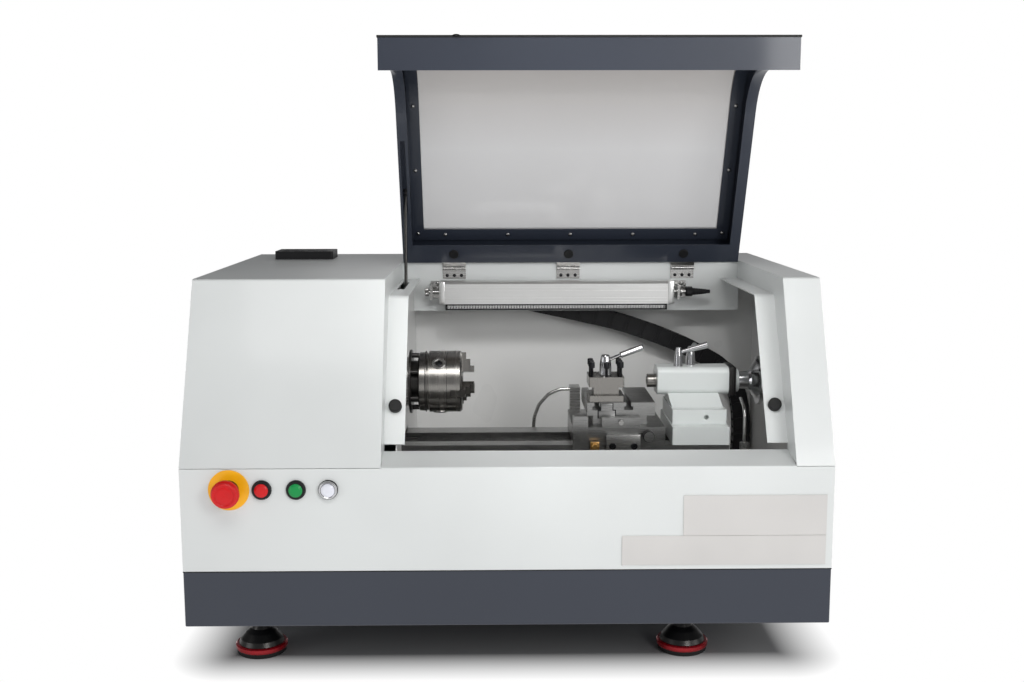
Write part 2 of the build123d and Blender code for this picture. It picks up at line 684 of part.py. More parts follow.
screw_radius = 8.0
saddle_x = (104.0, 250.0)
saddle_top = 361.0
dovetail_x = (150.0, 210.0)
dovetail_top = 376.0
cross_screw_x = 180.0
cross_screw_z = 369.0
table_top = 397.0

with BuildPart() as saddle:
    block(saddle_x, (-168, -22), (bed_top + 0.1, saddle_top))
    block((158, 208), (-174, -163.3), (318, saddle_top - 10))
    block((saddle_x[0], 127.5), (-174, -150), (bed_top + 0.1, dovetail_top + 4))
    block((saddle_x[0], 127.5), (-174, -163.3), (318, saddle_top))
    block(saddle_x, (-29.7, -22), (312, saddle_top))
    block(dovetail_x, (-165, -25), (saddle_top, dovetail_top))
    block((cross_screw_x - 9, cross_screw_x + 9), (-150, -34), (saddle_top + 1, dovetail_top + 1),
          Mode.SUBTRACT)
    block((155, 205), (screw_y - 22, screw_y + 22), (278, bed_top + 1))
    disc_x((154, 206), screw_y, screw_z, screw_radius + running_gap, Mode.SUBTRACT)
    disc_y((-166, -149), cross_screw_x, cross_screw_z, 4 + running_gap, Mode.SUBTRACT)
    disc_y((-35, -24), cross_screw_x, cross_screw_z, 4 + running_gap, Mode.SUBTRACT)
    disc_y((-182, -167), 223, 348, 8)
    for screw_x in (166, 200):
        disc_y((-178, -173), screw_x, 333, 5)
        disc_y((-179, -176), screw_x, 333, 2.5, Mode.SUBTRACT)
save(saddle, "saddle")

with BuildPart() as oil_pipe:
    pipe_points = [(112, 5, 391), (92, 5, 391), (72, 5, 382), (56, 5, 364), (48, 5, 342), (46, 5, 312)]
    with BuildLine() as pipe_path:
        FilletPolyline(*pipe_points, radius=[22, 22, 22, 30])
    with BuildSketch(Plane(pipe_points[0], z_dir=(-1, 0, 0))):
        Circle(3)
    sweep(path=pipe_path.line)
    block((108, 125), (-21.9, 12), (saddle_top - 12, 398))
    disc_z((300, 316), 46, 5, 6)
save(oil_pipe, "oil_pipe")

with BuildPart() as z_screw:
    disc_x((-324, 329), screw_y, screw_z, screw_radius)
    disc_x((-360, 352), screw_y, screw_z, 6)
save(z_screw, "z_screw")

with BuildPart() as x_screw:
    disc_y((-148, -36), cross_screw_x, cross_screw_z, 5)
    disc_y((-172, -24.2), cross_screw_x, cross_screw_z, 4)
save(x_screw, "x_screw")

with BuildPart() as cross_slide:
    block((128, 236), (-148, -13), (dovetail_top + 0.1, table_top))
    for gib in ((137, 149.8), (210.2, 223)):
        block(gib, (-148, -13), (saddle_top + 0.3, dovetail_top + 1))
    for slot_x in (143, 194):
        block((slot_x - 4, slot_x + 4), (-149, -12), (table_top - 6, table_top + 1), Mode.SUBTRACT)
        block((slot_x - 7, slot_x + 7), (-149, -12), (table_top - 12, table_top - 6), Mode.SUBTRACT)
    block((cross_screw_x - 8, cross_screw_x + 8), (-122, -88), (saddle_top + 1.5, dovetail_top + 1))
    disc_y((-123, -87), cross_screw_x, cross_screw_z, 5 + running_gap, Mode.SUBTRACT)
save(cross_slide, "cross_slide")

post_x = 159.0
post_y = -116.0
post_half = 28.0
post_slot = (407.0, 421.0)
post_top = 437.0

with BuildPart() as tool_post:
    block((post_x - post_half, post_x + post_half), (post_y - post_half, post_y + post_half),
          (table_top + 0.1, post_top))
    fillet(tool_post.edges().filter_by(Axis.Z), radius=2)
    for side in (-1, 1):
        near = post_half - 8
        far = post_half + 2
        x_cut = sorted((post_x + side * near, post_x + side * far))
        y_cut = sorted((post_y + side * near, post_y + side * far))
        block(x_cut, (post_y - far, post_y + far), post_slot, Mode.SUBTRACT)
        block((post_x - far, post_x + far), y_cut, post_slot, Mode.SUBTRACT)
    disc_z((table_top, post_top + 1), post_x, post_y, 6 + running_gap, Mode.SUBTRACT)
save(tool_post, "tool_post")

stem_radius = 4.0
stem_length = 8.0
screw_step = 18.0
with BuildPart() as tool_screws:
    for side in (-1, 1):
        for step in (-1, 0, 1):
            places = [(post_x + side * 23, post_y + step * screw_step)]
            if step == 0:
                places.append((post_x, post_y + side * 23))
            for x, y in places:
                disc_z((post_top, post_top + 14), x, y, 2.5)
                disc_z((post_top + 14, post_top + 24), x, y, 4.5)
save(tool_screws, "tool_screws")


def lever(x, y, base, hub, tip, grip=6.0):
    """A turned hub on a stem, with a slim arm and a rounded grip from the hub's top towards tip."""
    disc_z((base - stem_length, base + 1), x, y, stem_radius)
    turned_z([(0, base), (hub, base), (hub * 0.8, base + 18), (hub * 0.55, base + 30), (0, base + 30)], x, y)
    start = Vector(x, y, base + 22)
    along = Vector(*tip) - start
    with BuildSketch(Plane(start, z_dir=along.normalized())) as arm:
        Circle(grip * 0.5)
    extrude(arm.sketch, amount=along.length - 4)
    with BuildSketch(Plane(start + along * 0.35, z_dir=along.normalized())) as low:
        Circle(grip * 0.7)
    with BuildSketch(Plane(Vector(*tip), z_dir=along.normalized())) as high:
        Circle(grip * 0.95)
    loft([low.sketch.face(), high.sketch.face()])


with BuildPart() as tool_post_lever:
    lever(post_x, post_y, post_top + 0.2, 9.0, (218, post_y - 6, 483))
    disc_z((table_top + 0.2, post_top + 1), post_x, post_y, 6)
save(tool_post_lever, "tool_post_lever")

# ---------------------------------------------------------------- tailstock

quill_radius = 11.0
barrel_x = (245.0, 366.0)
barrel_y = (spindle_y - 26, spindle_y + 26)
barrel_z = (401.0, 446.0)
lock_place = (281.0, -88.0)
clamp_place = (303.0, -74.0)
feed_radius = 5.0

with BuildPart() as tailstock_base:
    block((262, 352), (-168, -24), (bed_top + 0.1, 361))
    block((270, 344), (-130, -74), (bed_top - 6, bed_top + 1))
save(tailstock_base, "tailstock_base")

with BuildPart() as tailstock_body:
    block((264, 350), (-150, -34), (361.2, 385))
    with BuildSketch(Plane.XY.offset(384)) as neck_low:
        with Locations((307, -92)):
            Rectangle(82, 80)
    with BuildSketch(Plane.XY.offset(404)) as neck_high:
        with Locations((303, spindle_y)):
            Rectangle(82, 50)
    loft([neck_low.sketch.face(), neck_high.sketch.face()])
    with BuildSketch(Plane.YZ.offset(barrel_x[0])) as barrel_face:
        with Locations(((barrel_y[0] + barrel_y[1]) / 2, (barrel_z[0] + barrel_z[1]) / 2)):
            RectangleRounded(barrel_y[1] - barrel_y[0], barrel_z[1] - barrel_z[0], 10)
    extrude(barrel_face.sketch, amount=barrel_x[1] - barrel_x[0])
    disc_x((barrel_x[0] - 1, barrel_x[1] + 1), spindle_y, spindle_z, quill_radius + running_gap,
           Mode.SUBTRACT)
    feed_bore = feed_radius + running_gap
    turned_x([(barrel_x[1], feed_bore), (barrel_x[1], 19), (379, 19), (380, 18), (380, feed_bore)],
             spindle_y, spindle_z)
    for x, y in (lock_place, clamp_place):
        disc_z((barrel_z[1] - stem_length, barrel_z[1] + 1), x, y, stem_radius + running_gap, Mode.SUBTRACT)
    disc_y((-160, -140), 318, 373, 4, Mode.SUBTRACT)
save(tailstock_body, "tailstock_body")

with BuildPart() as quill:
    turned_x([(230, 0), (230, 10), (231, quill_radius), (340, quill_radius), (340, 0)], spindle_y, spindle_z)
    turned_x([(229, 0), (229, 6.5), (275, 5), (275, 0)], spindle_y, spindle_z, Mode.SUBTRACT)
    disc_x((300, 341), spindle_y, spindle_z, feed_radius + running_gap, Mode.SUBTRACT)
save(quill, "quill")

with BuildPart() as tailstock_handwheel:
    turned_x([(380.4, 0), (380.4, 14), (396, 15), (400, 18), (409, 33), (411, 39), (416, 40), (418, 37),
              (414, 30), (406, 16), (404, 0)], spindle_y, spindle_z)
    disc_x((345, 381), spindle_y, spindle_z, feed_radius)
    disc_x((414, 431), spindle_y - 33, spindle_z, 5)
save(tailstock_handwheel, "tailstock_handwheel")

with BuildPart() as quill_lock_lever:
    lever(*lock_place, barrel_z[1] + 0.2, 8.0, (327, spindle_y - 14, 482))
save(quill_lock_lever, "quill_lock_lever")

with BuildPart() as clamp_lever:
    lever(*clamp_place, barrel_z[1] + 0.2, 8.5, (318, spindle_y + 62, 470), 5.0)
save(clamp_lever, "clamp_lever")

# ---------------------------------------------------------------- services in the chamber

chain_points = [(40, 524), (132, 504), (212, 486), (300, 455), (356, 429), (418, 392), (443, 318),
                (438, 197)]
chain_depth = (166.0, 190.0)
with BuildPart() as drag_chain:
    with BuildSketch(Plane.XZ.offset(-chain_depth[1])):
        with BuildLine():
            FilletPolyline(*chain_points, radius=[60, 60, 150, 100, 60, 60])
            offset(amount=16, side=Side.BOTH)
        make_face()
    extrude(amount=chain_depth[1] - chain_depth[0])
save(drag_chain, "drag_chain")

with BuildPart() as coolant_pipe:
    with BuildLine() as coolant_path:
        FilletPolyline((372, -185, 300), (372, -185, 392), (372, -150, 404), radius=20)
    with BuildSketch(Plane((372, -185, 300), z_dir=(0, 0, 1))):
        Circle(2.5)
    sweep(path=coolant_path.line)
    disc_z((318, 340), 372, -185, 7)
    block((362, 382), (-195, -175), (tray_top + sheet, 319))
save(coolant_pipe, "coolant_pipe")
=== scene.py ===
import json
import math

import bmesh
import bpy
from mathutils import Matrix, Vector


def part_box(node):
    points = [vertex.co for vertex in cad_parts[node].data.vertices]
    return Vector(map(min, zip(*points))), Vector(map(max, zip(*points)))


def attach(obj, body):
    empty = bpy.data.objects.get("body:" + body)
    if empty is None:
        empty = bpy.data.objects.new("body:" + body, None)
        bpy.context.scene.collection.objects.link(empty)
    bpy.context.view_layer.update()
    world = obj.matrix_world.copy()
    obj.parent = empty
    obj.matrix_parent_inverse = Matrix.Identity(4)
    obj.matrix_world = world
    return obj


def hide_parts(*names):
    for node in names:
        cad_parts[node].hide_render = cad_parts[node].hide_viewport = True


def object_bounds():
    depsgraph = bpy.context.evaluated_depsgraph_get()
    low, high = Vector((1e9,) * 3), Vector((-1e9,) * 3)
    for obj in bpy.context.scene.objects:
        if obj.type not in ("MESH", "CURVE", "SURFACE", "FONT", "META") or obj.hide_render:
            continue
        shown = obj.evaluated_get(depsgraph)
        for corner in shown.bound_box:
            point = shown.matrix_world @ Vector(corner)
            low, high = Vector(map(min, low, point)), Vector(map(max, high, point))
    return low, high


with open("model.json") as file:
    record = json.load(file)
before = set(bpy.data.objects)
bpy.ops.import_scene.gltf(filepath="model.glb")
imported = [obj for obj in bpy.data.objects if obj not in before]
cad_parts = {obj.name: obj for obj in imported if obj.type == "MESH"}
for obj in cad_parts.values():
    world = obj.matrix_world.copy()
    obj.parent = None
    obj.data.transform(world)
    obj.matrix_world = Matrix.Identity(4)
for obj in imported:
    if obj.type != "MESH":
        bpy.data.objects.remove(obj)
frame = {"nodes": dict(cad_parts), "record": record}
cad_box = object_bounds()
nodes = frame["nodes"]
MM = 0.001
TAU = 2 * math.pi
FRONT = (0, -1, 0)
BACK = (0, 1, 0)
LEFT = (-1, 0, 0)
RIGHT = (1, 0, 0)
UP = (0, 0, 1)

# ------------------------------------------------------------------ camera, lights, sky

scene = bpy.context.scene
scene.view_settings.view_transform = "Standard"

# fitted to the cabinet's edges in the photograph
camera = bpy.data.objects.new("camera", bpy.data.cameras.new("camera"))
camera.data.lens = 41.93
camera.data.sensor_width = 36.0
camera.data.clip_start = 0.05
camera.data.clip_end = 60.0
camera.location = (-0.0133, -2.0117, 0.7659)
camera.rotation_euler = (math.radians(81.783), math.radians(0.11), math.radians(-0.6765))
scene.collection.objects.link(camera)
scene.camera = camera


def hang_light(data, place, aim):
    """Puts a light at place, turned towards aim."""
    light = bpy.data.objects.new(data.name, data)
    light.location = place
    light.rotation_euler = (Vector(aim) - Vector(place)).to_track_quat("-Z", "Y").to_euler()
    scene.collection.objects.link(light)


def area_light(name, place, aim, size, power, tint=(1, 1, 1)):
    """A soft box at place, turned towards aim."""
    data = bpy.data.lights.new(name, "AREA")
    data.shape = "RECTANGLE"
    data.size, data.size_y = size
    data.energy = power
    data.color = tint
    hang_light(data, place, aim)


WARM = (1.0, 0.995, 0.985)
COOL = (0.96, 0.98, 1.0)
area_light("front_box", (0.0, -1.55, 1.95), aim=(0.0, 0.0, 0.4), size=(1.6, 0.6), power=14.5, tint=WARM)
area_light("left_box", (-1.9, -1.1, 0.8), aim=(-0.2, 0, 0.4), size=(0.8, 1.0), power=5, tint=COOL)
area_light("right_box", (1.9, -0.9, 0.9), aim=(0.2, 0, 0.4), size=(0.8, 1.2), power=8)
area_light("gleam_card", (1.05, -2.05, 1.15), aim=(0.3, 0, 0.75), size=(0.55, 0.8), power=14)
area_light("back_box", (0.3, 1.9, 1.5), aim=(0, 0.2, 0.4), size=(2.0, 0.8), power=6)

chamber_spot = bpy.data.lights.new("chamber_spot", "SPOT")
chamber_spot.energy = 34
chamber_spot.spot_size = math.radians(25)
chamber_spot.spot_blend = 0.7
chamber_spot.shadow_soft_size = 0.1
hang_light(chamber_spot, (0.1, -1.3, 1.72), aim=(0.1, 0.02, 0.37))

world = bpy.data.worlds.new("studio")
scene.world = world
world.use_nodes = True
sky = world.node_tree
sky.nodes.clear()


def new_node(tree, kind, **inputs):
    """A node with its inputs set; an underscore in an input's name stands for a space."""
    made = tree.nodes.new(kind)
    for key, value in inputs.items():
        made.inputs[key.replace("_", " ")].default_value = value
    return made


def from_signed(output):
    """A value between -1 and 1, brought to between 0 and 1."""
    made = new_node(sky, "ShaderNodeMath")
    made.operation = "MULTIPLY_ADD"
    made.inputs[1].default_value = 0.5
    made.inputs[2].default_value = 0.5
    sky.links.new(output, made.inputs[0])
    return made.outputs[0]


def sky_ramp(value, *stops):
    """The colour at value on a ramp through (position, colour) stops."""
    made = new_node(sky, "ShaderNodeValToRGB")
    points = made.color_ramp.elements
    for point, (position, colour) in ((points[0], stops[0]), (points[1], stops[-1])):
        point.position = position
        point.color = (*colour, 1)
    for position, colour in stops[1:-1]:
        points.new(position).color = (*colour, 1)
    sky.links.new(value, made.inputs["Fac"])
    return made.outputs["Color"]


# dim below and above, bright round the horizon, dimmer behind the machine; the camera sees plain white
way = new_node(sky, "ShaderNodeSeparateXYZ")
sky.links.new(new_node(sky, "ShaderNodeTexCoord").outputs["Generated"], way.inputs[0])
by_height = sky_ramp(from_signed(way.outputs["Z"]), (0.35, (0.18, 0.18, 0.18)), (0.55, (0.95, 0.96, 0.98)),
                     (0.95, (0.1, 0.1, 0.105)))
by_depth = sky_ramp(from_signed(way.outputs["Y"]), (0.2, (1, 1, 1)), (0.8, (0.42, 0.42, 0.43)))
both = new_node(sky, "ShaderNodeMix")
both.data_type = "RGBA"
both.blend_type = "MULTIPLY"
both.inputs["Factor"].default_value = 1.0
glow = new_node(sky, "ShaderNodeBackground", Strength=0.36)
white = new_node(sky, "ShaderNodeBackground", Color=(1, 1, 1, 1), Strength=1.0)
choose = new_node(sky, "ShaderNodeMixShader")
sky.links.new(by_height, both.inputs["A"])
sky.links.new(by_depth, both.inputs["B"])
sky.links.new(both.outputs["Result"], glow.inputs["Color"])
sky.links.new(new_node(sky, "ShaderNodeLightPath").outputs["Is Camera Ray"], choose.inputs["Fac"])
sky.links.new(glow.outputs[0], choose.inputs[1])
sky.links.new(white.outputs[0], choose.inputs[2])
sky.links.new(choose.outputs[0], new_node(sky, "ShaderNodeOutputWorld").inputs["Surface"])

# ------------------------------------------------------------------ materials


class Finish:
    """A procedural material under construction, with short calls for the nodes it uses."""

    def __init__(self, name, colour, rough, metal=0.0, **sockets):
        self.name = name
        self.material = bpy.data.materials.new(name)
        self.material.use_nodes = True
        self.tree = self.material.node_tree
        self.shader = self.tree.nodes["Principled BSDF"]
        self.shader.inputs["Base Color"].default_value = (*colour, 1)
        self.shader.inputs["Roughness"].default_value = rough
        self.shader.inputs["Metallic"].default_value = metal
        for key, value in sockets.items():
            self.shader.inputs[key.replace("_", " ")].default_value = value
        self.colour = colour
        self.rough = rough
        self.coordinates = self.tree.nodes.new("ShaderNodeTexCoord").outputs["Object"]

    def add(self, kind, operation=None, **inputs):
        made = new_node(self.tree, kind, **inputs)
        if operation:
            made.operation = operation
        return made

    def link(self, output, target):
        self.tree.links.new(output, target)

    def noise(self, scale, detail=3.0, stretch=(1, 1, 1), distortion=0.0):
        """Noise in object space; stretch multiplies the scale along each axis."""
        mapping = self.add("ShaderNodeMapping", Scale=stretch)
        made = self.add("ShaderNodeTexNoise", Scale=scale, Detail=detail, Distortion=distortion)
        self.link(self.coordinates, mapping.inputs["Vector"])
        self.link(mapping.outputs[0], made.inputs["Vector"])
        return made.outputs["Fac"]

    def ramp(self, value, low, high, dark=0.0, light=1.0):
        """value from low to high becomes dark to light, clamped."""
        made = self.add("ShaderNodeMapRange", From_Min=low, From_Max=high, To_Min=dark, To_Max=light)
        self.link(value, made.inputs["Value"])
        return made.outputs["Result"]

    def tint(self, mask, colour):
        """Mixes colour over what the base colour is now, where mask is 1."""
        made = self.add("ShaderNodeMix")
        made.data_type = "RGBA"
        socket = self.shader.inputs["Base Color"]
        if socket.is_linked:
            self.link(socket.links[0].from_socket, made.inputs["A"])
        else:
            made.inputs["A"].default_value = socket.default_value
        made.inputs["B"].default_value = (*colour, 1)
        self.link(mask, made.inputs["Factor"])
        self.link(made.outputs["Result"], socket)

    def mottle(self, scale, amount):
        """Soft light and dark patches in the colour."""
        patches = self.noise(scale, detail=2.0)
        self.tint(self.ramp(patches, 0.3, 0.5, dark=1.0, light=0.0), shade(self.colour, 1 - amount))
        self.tint(self.ramp(patches, 0.5, 0.7), shade(self.colour, 1 + amount))

    def uneven(self, scale, amount):
        """Roughness that varies by amount either way."""
        patches = self.noise(scale, detail=1.0)
        value = self.ramp(patches, 0.15, 0.85, dark=self.rough - amount, light=self.rough + amount)
        self.link(value, self.shader.inputs["Roughness"])

    def bump(self, height, distance, strength=1.0):
        """One more layer of bump, from height, in metres."""
        made = self.add("ShaderNodeBump", Strength=strength, Distance=distance)
        normal = self.shader.inputs["Normal"]
        if normal.is_linked:
            self.link(normal.links[0].from_socket, made.inputs["Normal"])
        self.link(height, made.inputs["Height"])
        self.link(made.outputs[0], normal)

    def worn_and_highlit_edges(self, colour, reach=0.0005, share=0.7):
        """Colour rubbed thin and lightened within reach of the edges, broken up by noise, as wear and
        painted highlight; share is how strongly.
        """
        rounded = self.add("ShaderNodeBevel", Radius=reach)
        flat = self.add("ShaderNodeNewGeometry")
        turn = self.add("ShaderNodeVectorMath", "DOT_PRODUCT")
        self.link(rounded.outputs[0], turn.inputs[0])
        self.link(flat.outputs["Normal"], turn.inputs[1])
        edge = self.ramp(turn.outputs["Value"], low=0.985, high=0.9)
        broken = self.ramp(self.noise(scale=160, detail=4.0), low=0.42, high=0.6)
        mask = self.add("ShaderNodeMath", "MULTIPLY")
        self.link(edge, mask.inputs[0])
        self.link(broken, mask.inputs[1])
        fade = self.add("ShaderNodeMath", "MULTIPLY")
        fade.inputs[1].default_value = share
        self.link(mask.outputs[0], fade.inputs[0])
        self.tint(fade.outputs[0], colour)


def shade(colour, times):
    """colour made lighter or darker, up to white."""
    return tuple(min(1.0, channel * times) for channel in colour)


def powder_coat(name, colour, rough, sheen=0.25, edge_wear_and_highlight=(0.9, 0.9, 0.89)):
    """Sprayed powder paint: fine orange peel, faint patches, edges slightly rubbed and lightened as wear
    and painted highlight.
    """
    made = Finish(name, colour, rough, Coat_Weight=sheen, Coat_Roughness=0.09, Specular_IOR_Level=0.35)
    made.mottle(scale=5, amount=0.03)
    made.uneven(scale=14, amount=0.04)
    made.bump(made.noise(scale=700, detail=1.0), distance=0.00002, strength=0.4)
    made.worn_and_highlit_edges(edge_wear_and_highlight)
    return made


def machined(name, colour, rough, stretch, oil=0.25, lines=1400):
    """Ground or turned metal with tool lines along the axes of small stretch and a thin oily film."""
    made = Finish(name, colour, rough, metal=1.0)
    darker = shade(colour, 0.6)
    streaks = made.noise(lines, detail=2.0, stretch=stretch)
    made.tint(made.ramp(streaks, 0.35, 0.65, dark=0.08, light=0.0), darker)
    patches = made.noise(scale=34, detail=4.0, distortion=0.6)
    made.tint(made.ramp(patches, 0.5, 0.72, light=oil), darker)
    value = made.ramp(streaks, 0.3, 0.7, dark=rough - 0.02, light=rough + 0.04)
    made.link(value, made.shader.inputs["Roughness"])
    made.bump(streaks, distance=0.000001, strength=0.2)
    # edges lightened as wear and painted highlight
    made.worn_and_highlit_edges(shade(colour, 1.5), reach=0.0004, share=0.4)
    return made


def moulded(name, colour, rough, grain=500, deep=0.00003, coat=0.0):
    """Moulded plastic or rubber with a fine grain and slight handling shine."""
    made = Finish(name, colour, rough, Coat_Weight=coat, Coat_Roughness=0.12, Specular_IOR_Level=0.3)
    made.mottle(scale=40, amount=0.06)
    made.uneven(scale=60, amount=0.07)
    made.bump(made.noise(grain), deep, strength=0.6)
    return made


ALONG_X = (0.012, 1, 1)
ALONG_Z = (1, 1, 0.012)
ROUND_X = (1, 0.004, 0.004)
# each paint's edge colour is lighter than the paint: wear and painted highlight
finishes = {made.name: made for made in (
    powder_coat("cabinet_light", (0.68, 0.7, 0.695), 0.36),
    powder_coat("cabinet_dark", (0.026, 0.032, 0.048), 0.42, sheen=0.4, edge_wear_and_highlight=(0.1, 0.11, 0.13)),
    powder_coat("liner_grey", (0.7, 0.7, 0.69), 0.3, sheen=0.2, edge_wear_and_highlight=(0.75, 0.75, 0.75)),
    powder_coat("painted_casting", (0.62, 0.65, 0.64), 0.34, sheen=0.3, edge_wear_and_highlight=(0.75, 0.76, 0.76)),
    Finish("red_anodised", (0.42, 0.004, 0.012), 0.2, metal=0.6, Coat_Weight=0.5),
    Finish("plate_white", (0.6, 0.585, 0.57), 0.4),
    moulded("black_plastic", (0.008, 0.008, 0.009), 0.46),
    moulded("black_rubber", (0.012, 0.012, 0.012), 0.62, grain=260, deep=0.00008),
    moulded("yellow_plastic", (0.95, 0.46, 0.006), 0.38, grain=700, deep=0.00002, coat=0.3),
    moulded("red_plastic", (0.6, 0.004, 0.006), 0.4, grain=420, deep=0.00001, coat=0.15),
    moulded("green_plastic", (0.002, 0.27, 0.06), 0.4, grain=420, deep=0.00001, coat=0.15),
    moulded("white_plastic", (0.78, 0.79, 0.86), 0.3, grain=420, deep=0.00002, coat=0.4),
    machined("dark_steel", (0.06, 0.058, 0.056), 0.34, ALONG_X, oil=0.1),
    machined("black_steel", (0.025, 0.025, 0.027), 0.38, ALONG_Z, oil=0.1, lines=700),
    machined("bright_steel", (0.42, 0.415, 0.405), 0.26, ALONG_X, oil=0.1),
    machined("ground_steel", (0.27, 0.26, 0.245), 0.25, ROUND_X, oil=0.04, lines=90),
    machined("ground_iron", (0.3, 0.3, 0.295), 0.28, ALONG_X, oil=0.35),
    machined("aluminium", (0.7, 0.7, 0.69), 0.3, ALONG_X, oil=0.05),
    Finish("chrome", (0.55, 0.55, 0.56), 0.16, metal=1.0),
    Finish("lamp_lens", (0.5, 0.5, 0.5), 0.2, Alpha=0.35),
    Finish("pane", (0.66, 0.655, 0.665), 0.2, Alpha=0.55, Coat_Weight=0.3),
)}
BRASS = machined("brass", (0.62, 0.36, 0.12), 0.3, (1, 1, 0.05), oil=0.2, lines=500).material

# the smooth finishes, each with its scale of unevenness and how much its roughness varies
for key, scale, amount in (("red_anodised", 300, 0.05), ("chrome", 60, 0.04), ("plate_white", 30, 0.05),
                           ("lamp_lens", 200, 0.05), ("pane", 12, 0.04)):
    finishes[key].uneven(scale, amount)
    finishes[key].mottle(scale / 3, amount=0.03)
    finishes[key].bump(finishes[key].noise(scale / 2, detail=1.0), distance=0.00002, strength=0.2)

# painted shade: the pane is tinted darker and browner towards its top, where it is seen at a grazing angle;
# the anodised rings have turning lines
PANE_SHADE_FROM, PANE_SHADE_TO = 0.8, 0.95
pane = finishes["pane"]
pane_height = pane.add("ShaderNodeSeparateXYZ")
pane.link(pane.coordinates, pane_height.inputs[0])
# painted shade, darker and browner towards the pane's top
pane.tint(pane.ramp(pane_height.outputs["Z"], PANE_SHADE_FROM, PANE_SHADE_TO), (0.38, 0.34, 0.31))
anodised = finishes["red_anodised"]
turning = anodised.noise(scale=1200, detail=2.0, stretch=(0.2, 0.2, 6))
anodised.bump(turning, distance=0.00003, strength=0.4)

for part in frame["record"]["subparts"]:
    materials = nodes[part["node"]].data.materials
    materials.clear()
    materials.append(finishes[part["material_slot"]].material)

# ------------------------------------------------------------------ tools for the pieces


def piece(name, mesh, body, slot_name=None, finish=None, smooth=True, stands_for=()):
    """Turns a bmesh in millimetres into a piece that rides on body, with its finish and slot."""
    bmesh.ops.recalc_face_normals(mesh, faces=mesh.faces)
    bmesh.ops.scale(mesh, vec=(MM, MM, MM), verts=mesh.verts)
    data = bpy.data.meshes.new(name)
    mesh.to_mesh(data)
    mesh.free()
    data.materials.append(finish or finishes[slot_name].material)
    made = bpy.data.objects.new(name, data)
    scene.collection.objects.link(made)
    if smooth:
        data.shade_smooth()
        data.set_sharp_from_angle(angle=math.radians(35))
    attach(made, body)
    if stands_for:
        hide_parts(*stands_for)


def about(middle, half):
    """The (low, high) limits half to each side of middle."""
    return (middle - half, middle + half)


def matrix_to(place, axis):
    """A turn that takes +Z to axis, moved to place."""
    turn = Vector(axis).to_track_quat("Z", "Y").to_matrix().to_4x4()
    return Matrix.Translation(Vector(place)) @ turn


def around(radius, share, height):
    """A point at radius and height, share of a full turn round Z."""
    return Vector((radius * math.cos(TAU * share), radius * math.sin(TAU * share), height))


def bridge(mesh, rings):
    """Faces between neighbouring rings of equally many vertices."""
    for low, high in zip(rings, rings[1:]):
        for k in range(len(low)):
            after = (k + 1) % len(low)
            mesh.faces.new([low[k], low[after], high[after], high[k]])


def turned(mesh, profile, place, axis, segments=40):
    """A turned solid from (radius, height) points about axis, starting at place."""
    matrix = matrix_to(place, axis)
    rings = []
    for radius, height in profile:
        count = segments if radius > 1e-6 else 1
        rings.append([mesh.verts.new(matrix @ around(radius, k / segments, height)) for k in range(count)])
    for low, high in zip(rings, rings[1:]):
        for k in range(segments):
            after = (k + 1) % segments
            corners = [low[k % len(low)], low[after % len(low)],
                       high[after % len(high)], high[k % len(high)]]
            corners = list(dict.fromkeys(corners))
            if len(corners) > 2:
                mesh.faces.new(corners)
    for ring in (rings[0], rings[-1]):
        if len(ring) > 2:
            mesh.faces.new(ring)


def slab(mesh, x, y, z, bevel=0.4):
    """A box between (low, high) limits with its edges rounded."""
    made = bmesh.ops.create_cube(mesh, size=1.0)["verts"]
    for vert in made:
        vert.co = Vector([low + (share + 0.5) * (high - low)
                          for share, (low, high) in zip(vert.co, (x, y, z))])
    edges = {edge for vert in made for edge in vert.link_edges}
    bmesh.ops.bevel(mesh, geom=list(edges), offset=bevel, segments=2, affect="EDGES", profile=0.6)


def knurled(mesh, place, axis, radius, length, teeth, depth, edge):
    """A straight-knurled cylinder with chamfered ends."""
    matrix = matrix_to(place, axis)
    rings = []
    for height, inset in ((0, edge), (edge, 0), (length - edge, 0), (length, edge)):
        reaches = (radius - inset, radius - inset - depth)
        rings.append([mesh.verts.new(matrix @ around(reaches[k % 2], k / (teeth * 2), height))
                      for k in range(teeth * 2)])
    bridge(mesh, rings)
    mesh.faces.new(rings[0])
    mesh.faces.new(rings[-1])


def socket_head(mesh, place, axis, radius, height):
    """A cap screw's knurled head with a hexagon socket."""
    matrix = matrix_to(place, axis)
    teeth, groove, sides = 24, 0.05, 6
    rings = []
    for level, reach in ((0, 1.0), (height * 0.86, 1.0), (height, 0.86), (height, 0.56)):
        inner = reach - groove if reach == 1.0 else reach
        reaches = (radius * reach, radius * inner)
        rings.append([mesh.verts.new(matrix @ around(reaches[k % 2], k / (teeth * 2), level))
                      for k in range(teeth * 2)])
    bridge(mesh, rings)
    mouth = rings[-1]
    lip, deep = [[mesh.verts.new(matrix @ around(0.48 * radius, k / sides, level)) for k in range(sides)]
                 for level in (height, height * 0.4)]
    step = len(mouth) // sides
    for k in range(sides):
        after = (k + 1) % sides
        arc = [mouth[(k * step + i) % len(mouth)] for i in range(step + 1)]
        mesh.faces.new([lip[k], *arc, lip[after]])
        mesh.faces.new([lip[k], lip[after], deep[after], deep[k]])
    mesh.faces.new(deep)
    mesh.faces.new(rings[0])


def domed_screw(mesh, place, axis, radius, height):
    """A domed screw head with a round recess; the profile is in shares of radius and height."""
    profile = [(1, 0), (1, 0.25), (0.9, 0.6), (0.6, 0.9), (0.28, 1), (0.2, 0.45), (0, 0.4)]
    turned(mesh, [(radius * r, height * h) for r, h in profile], place, axis, segments=20)


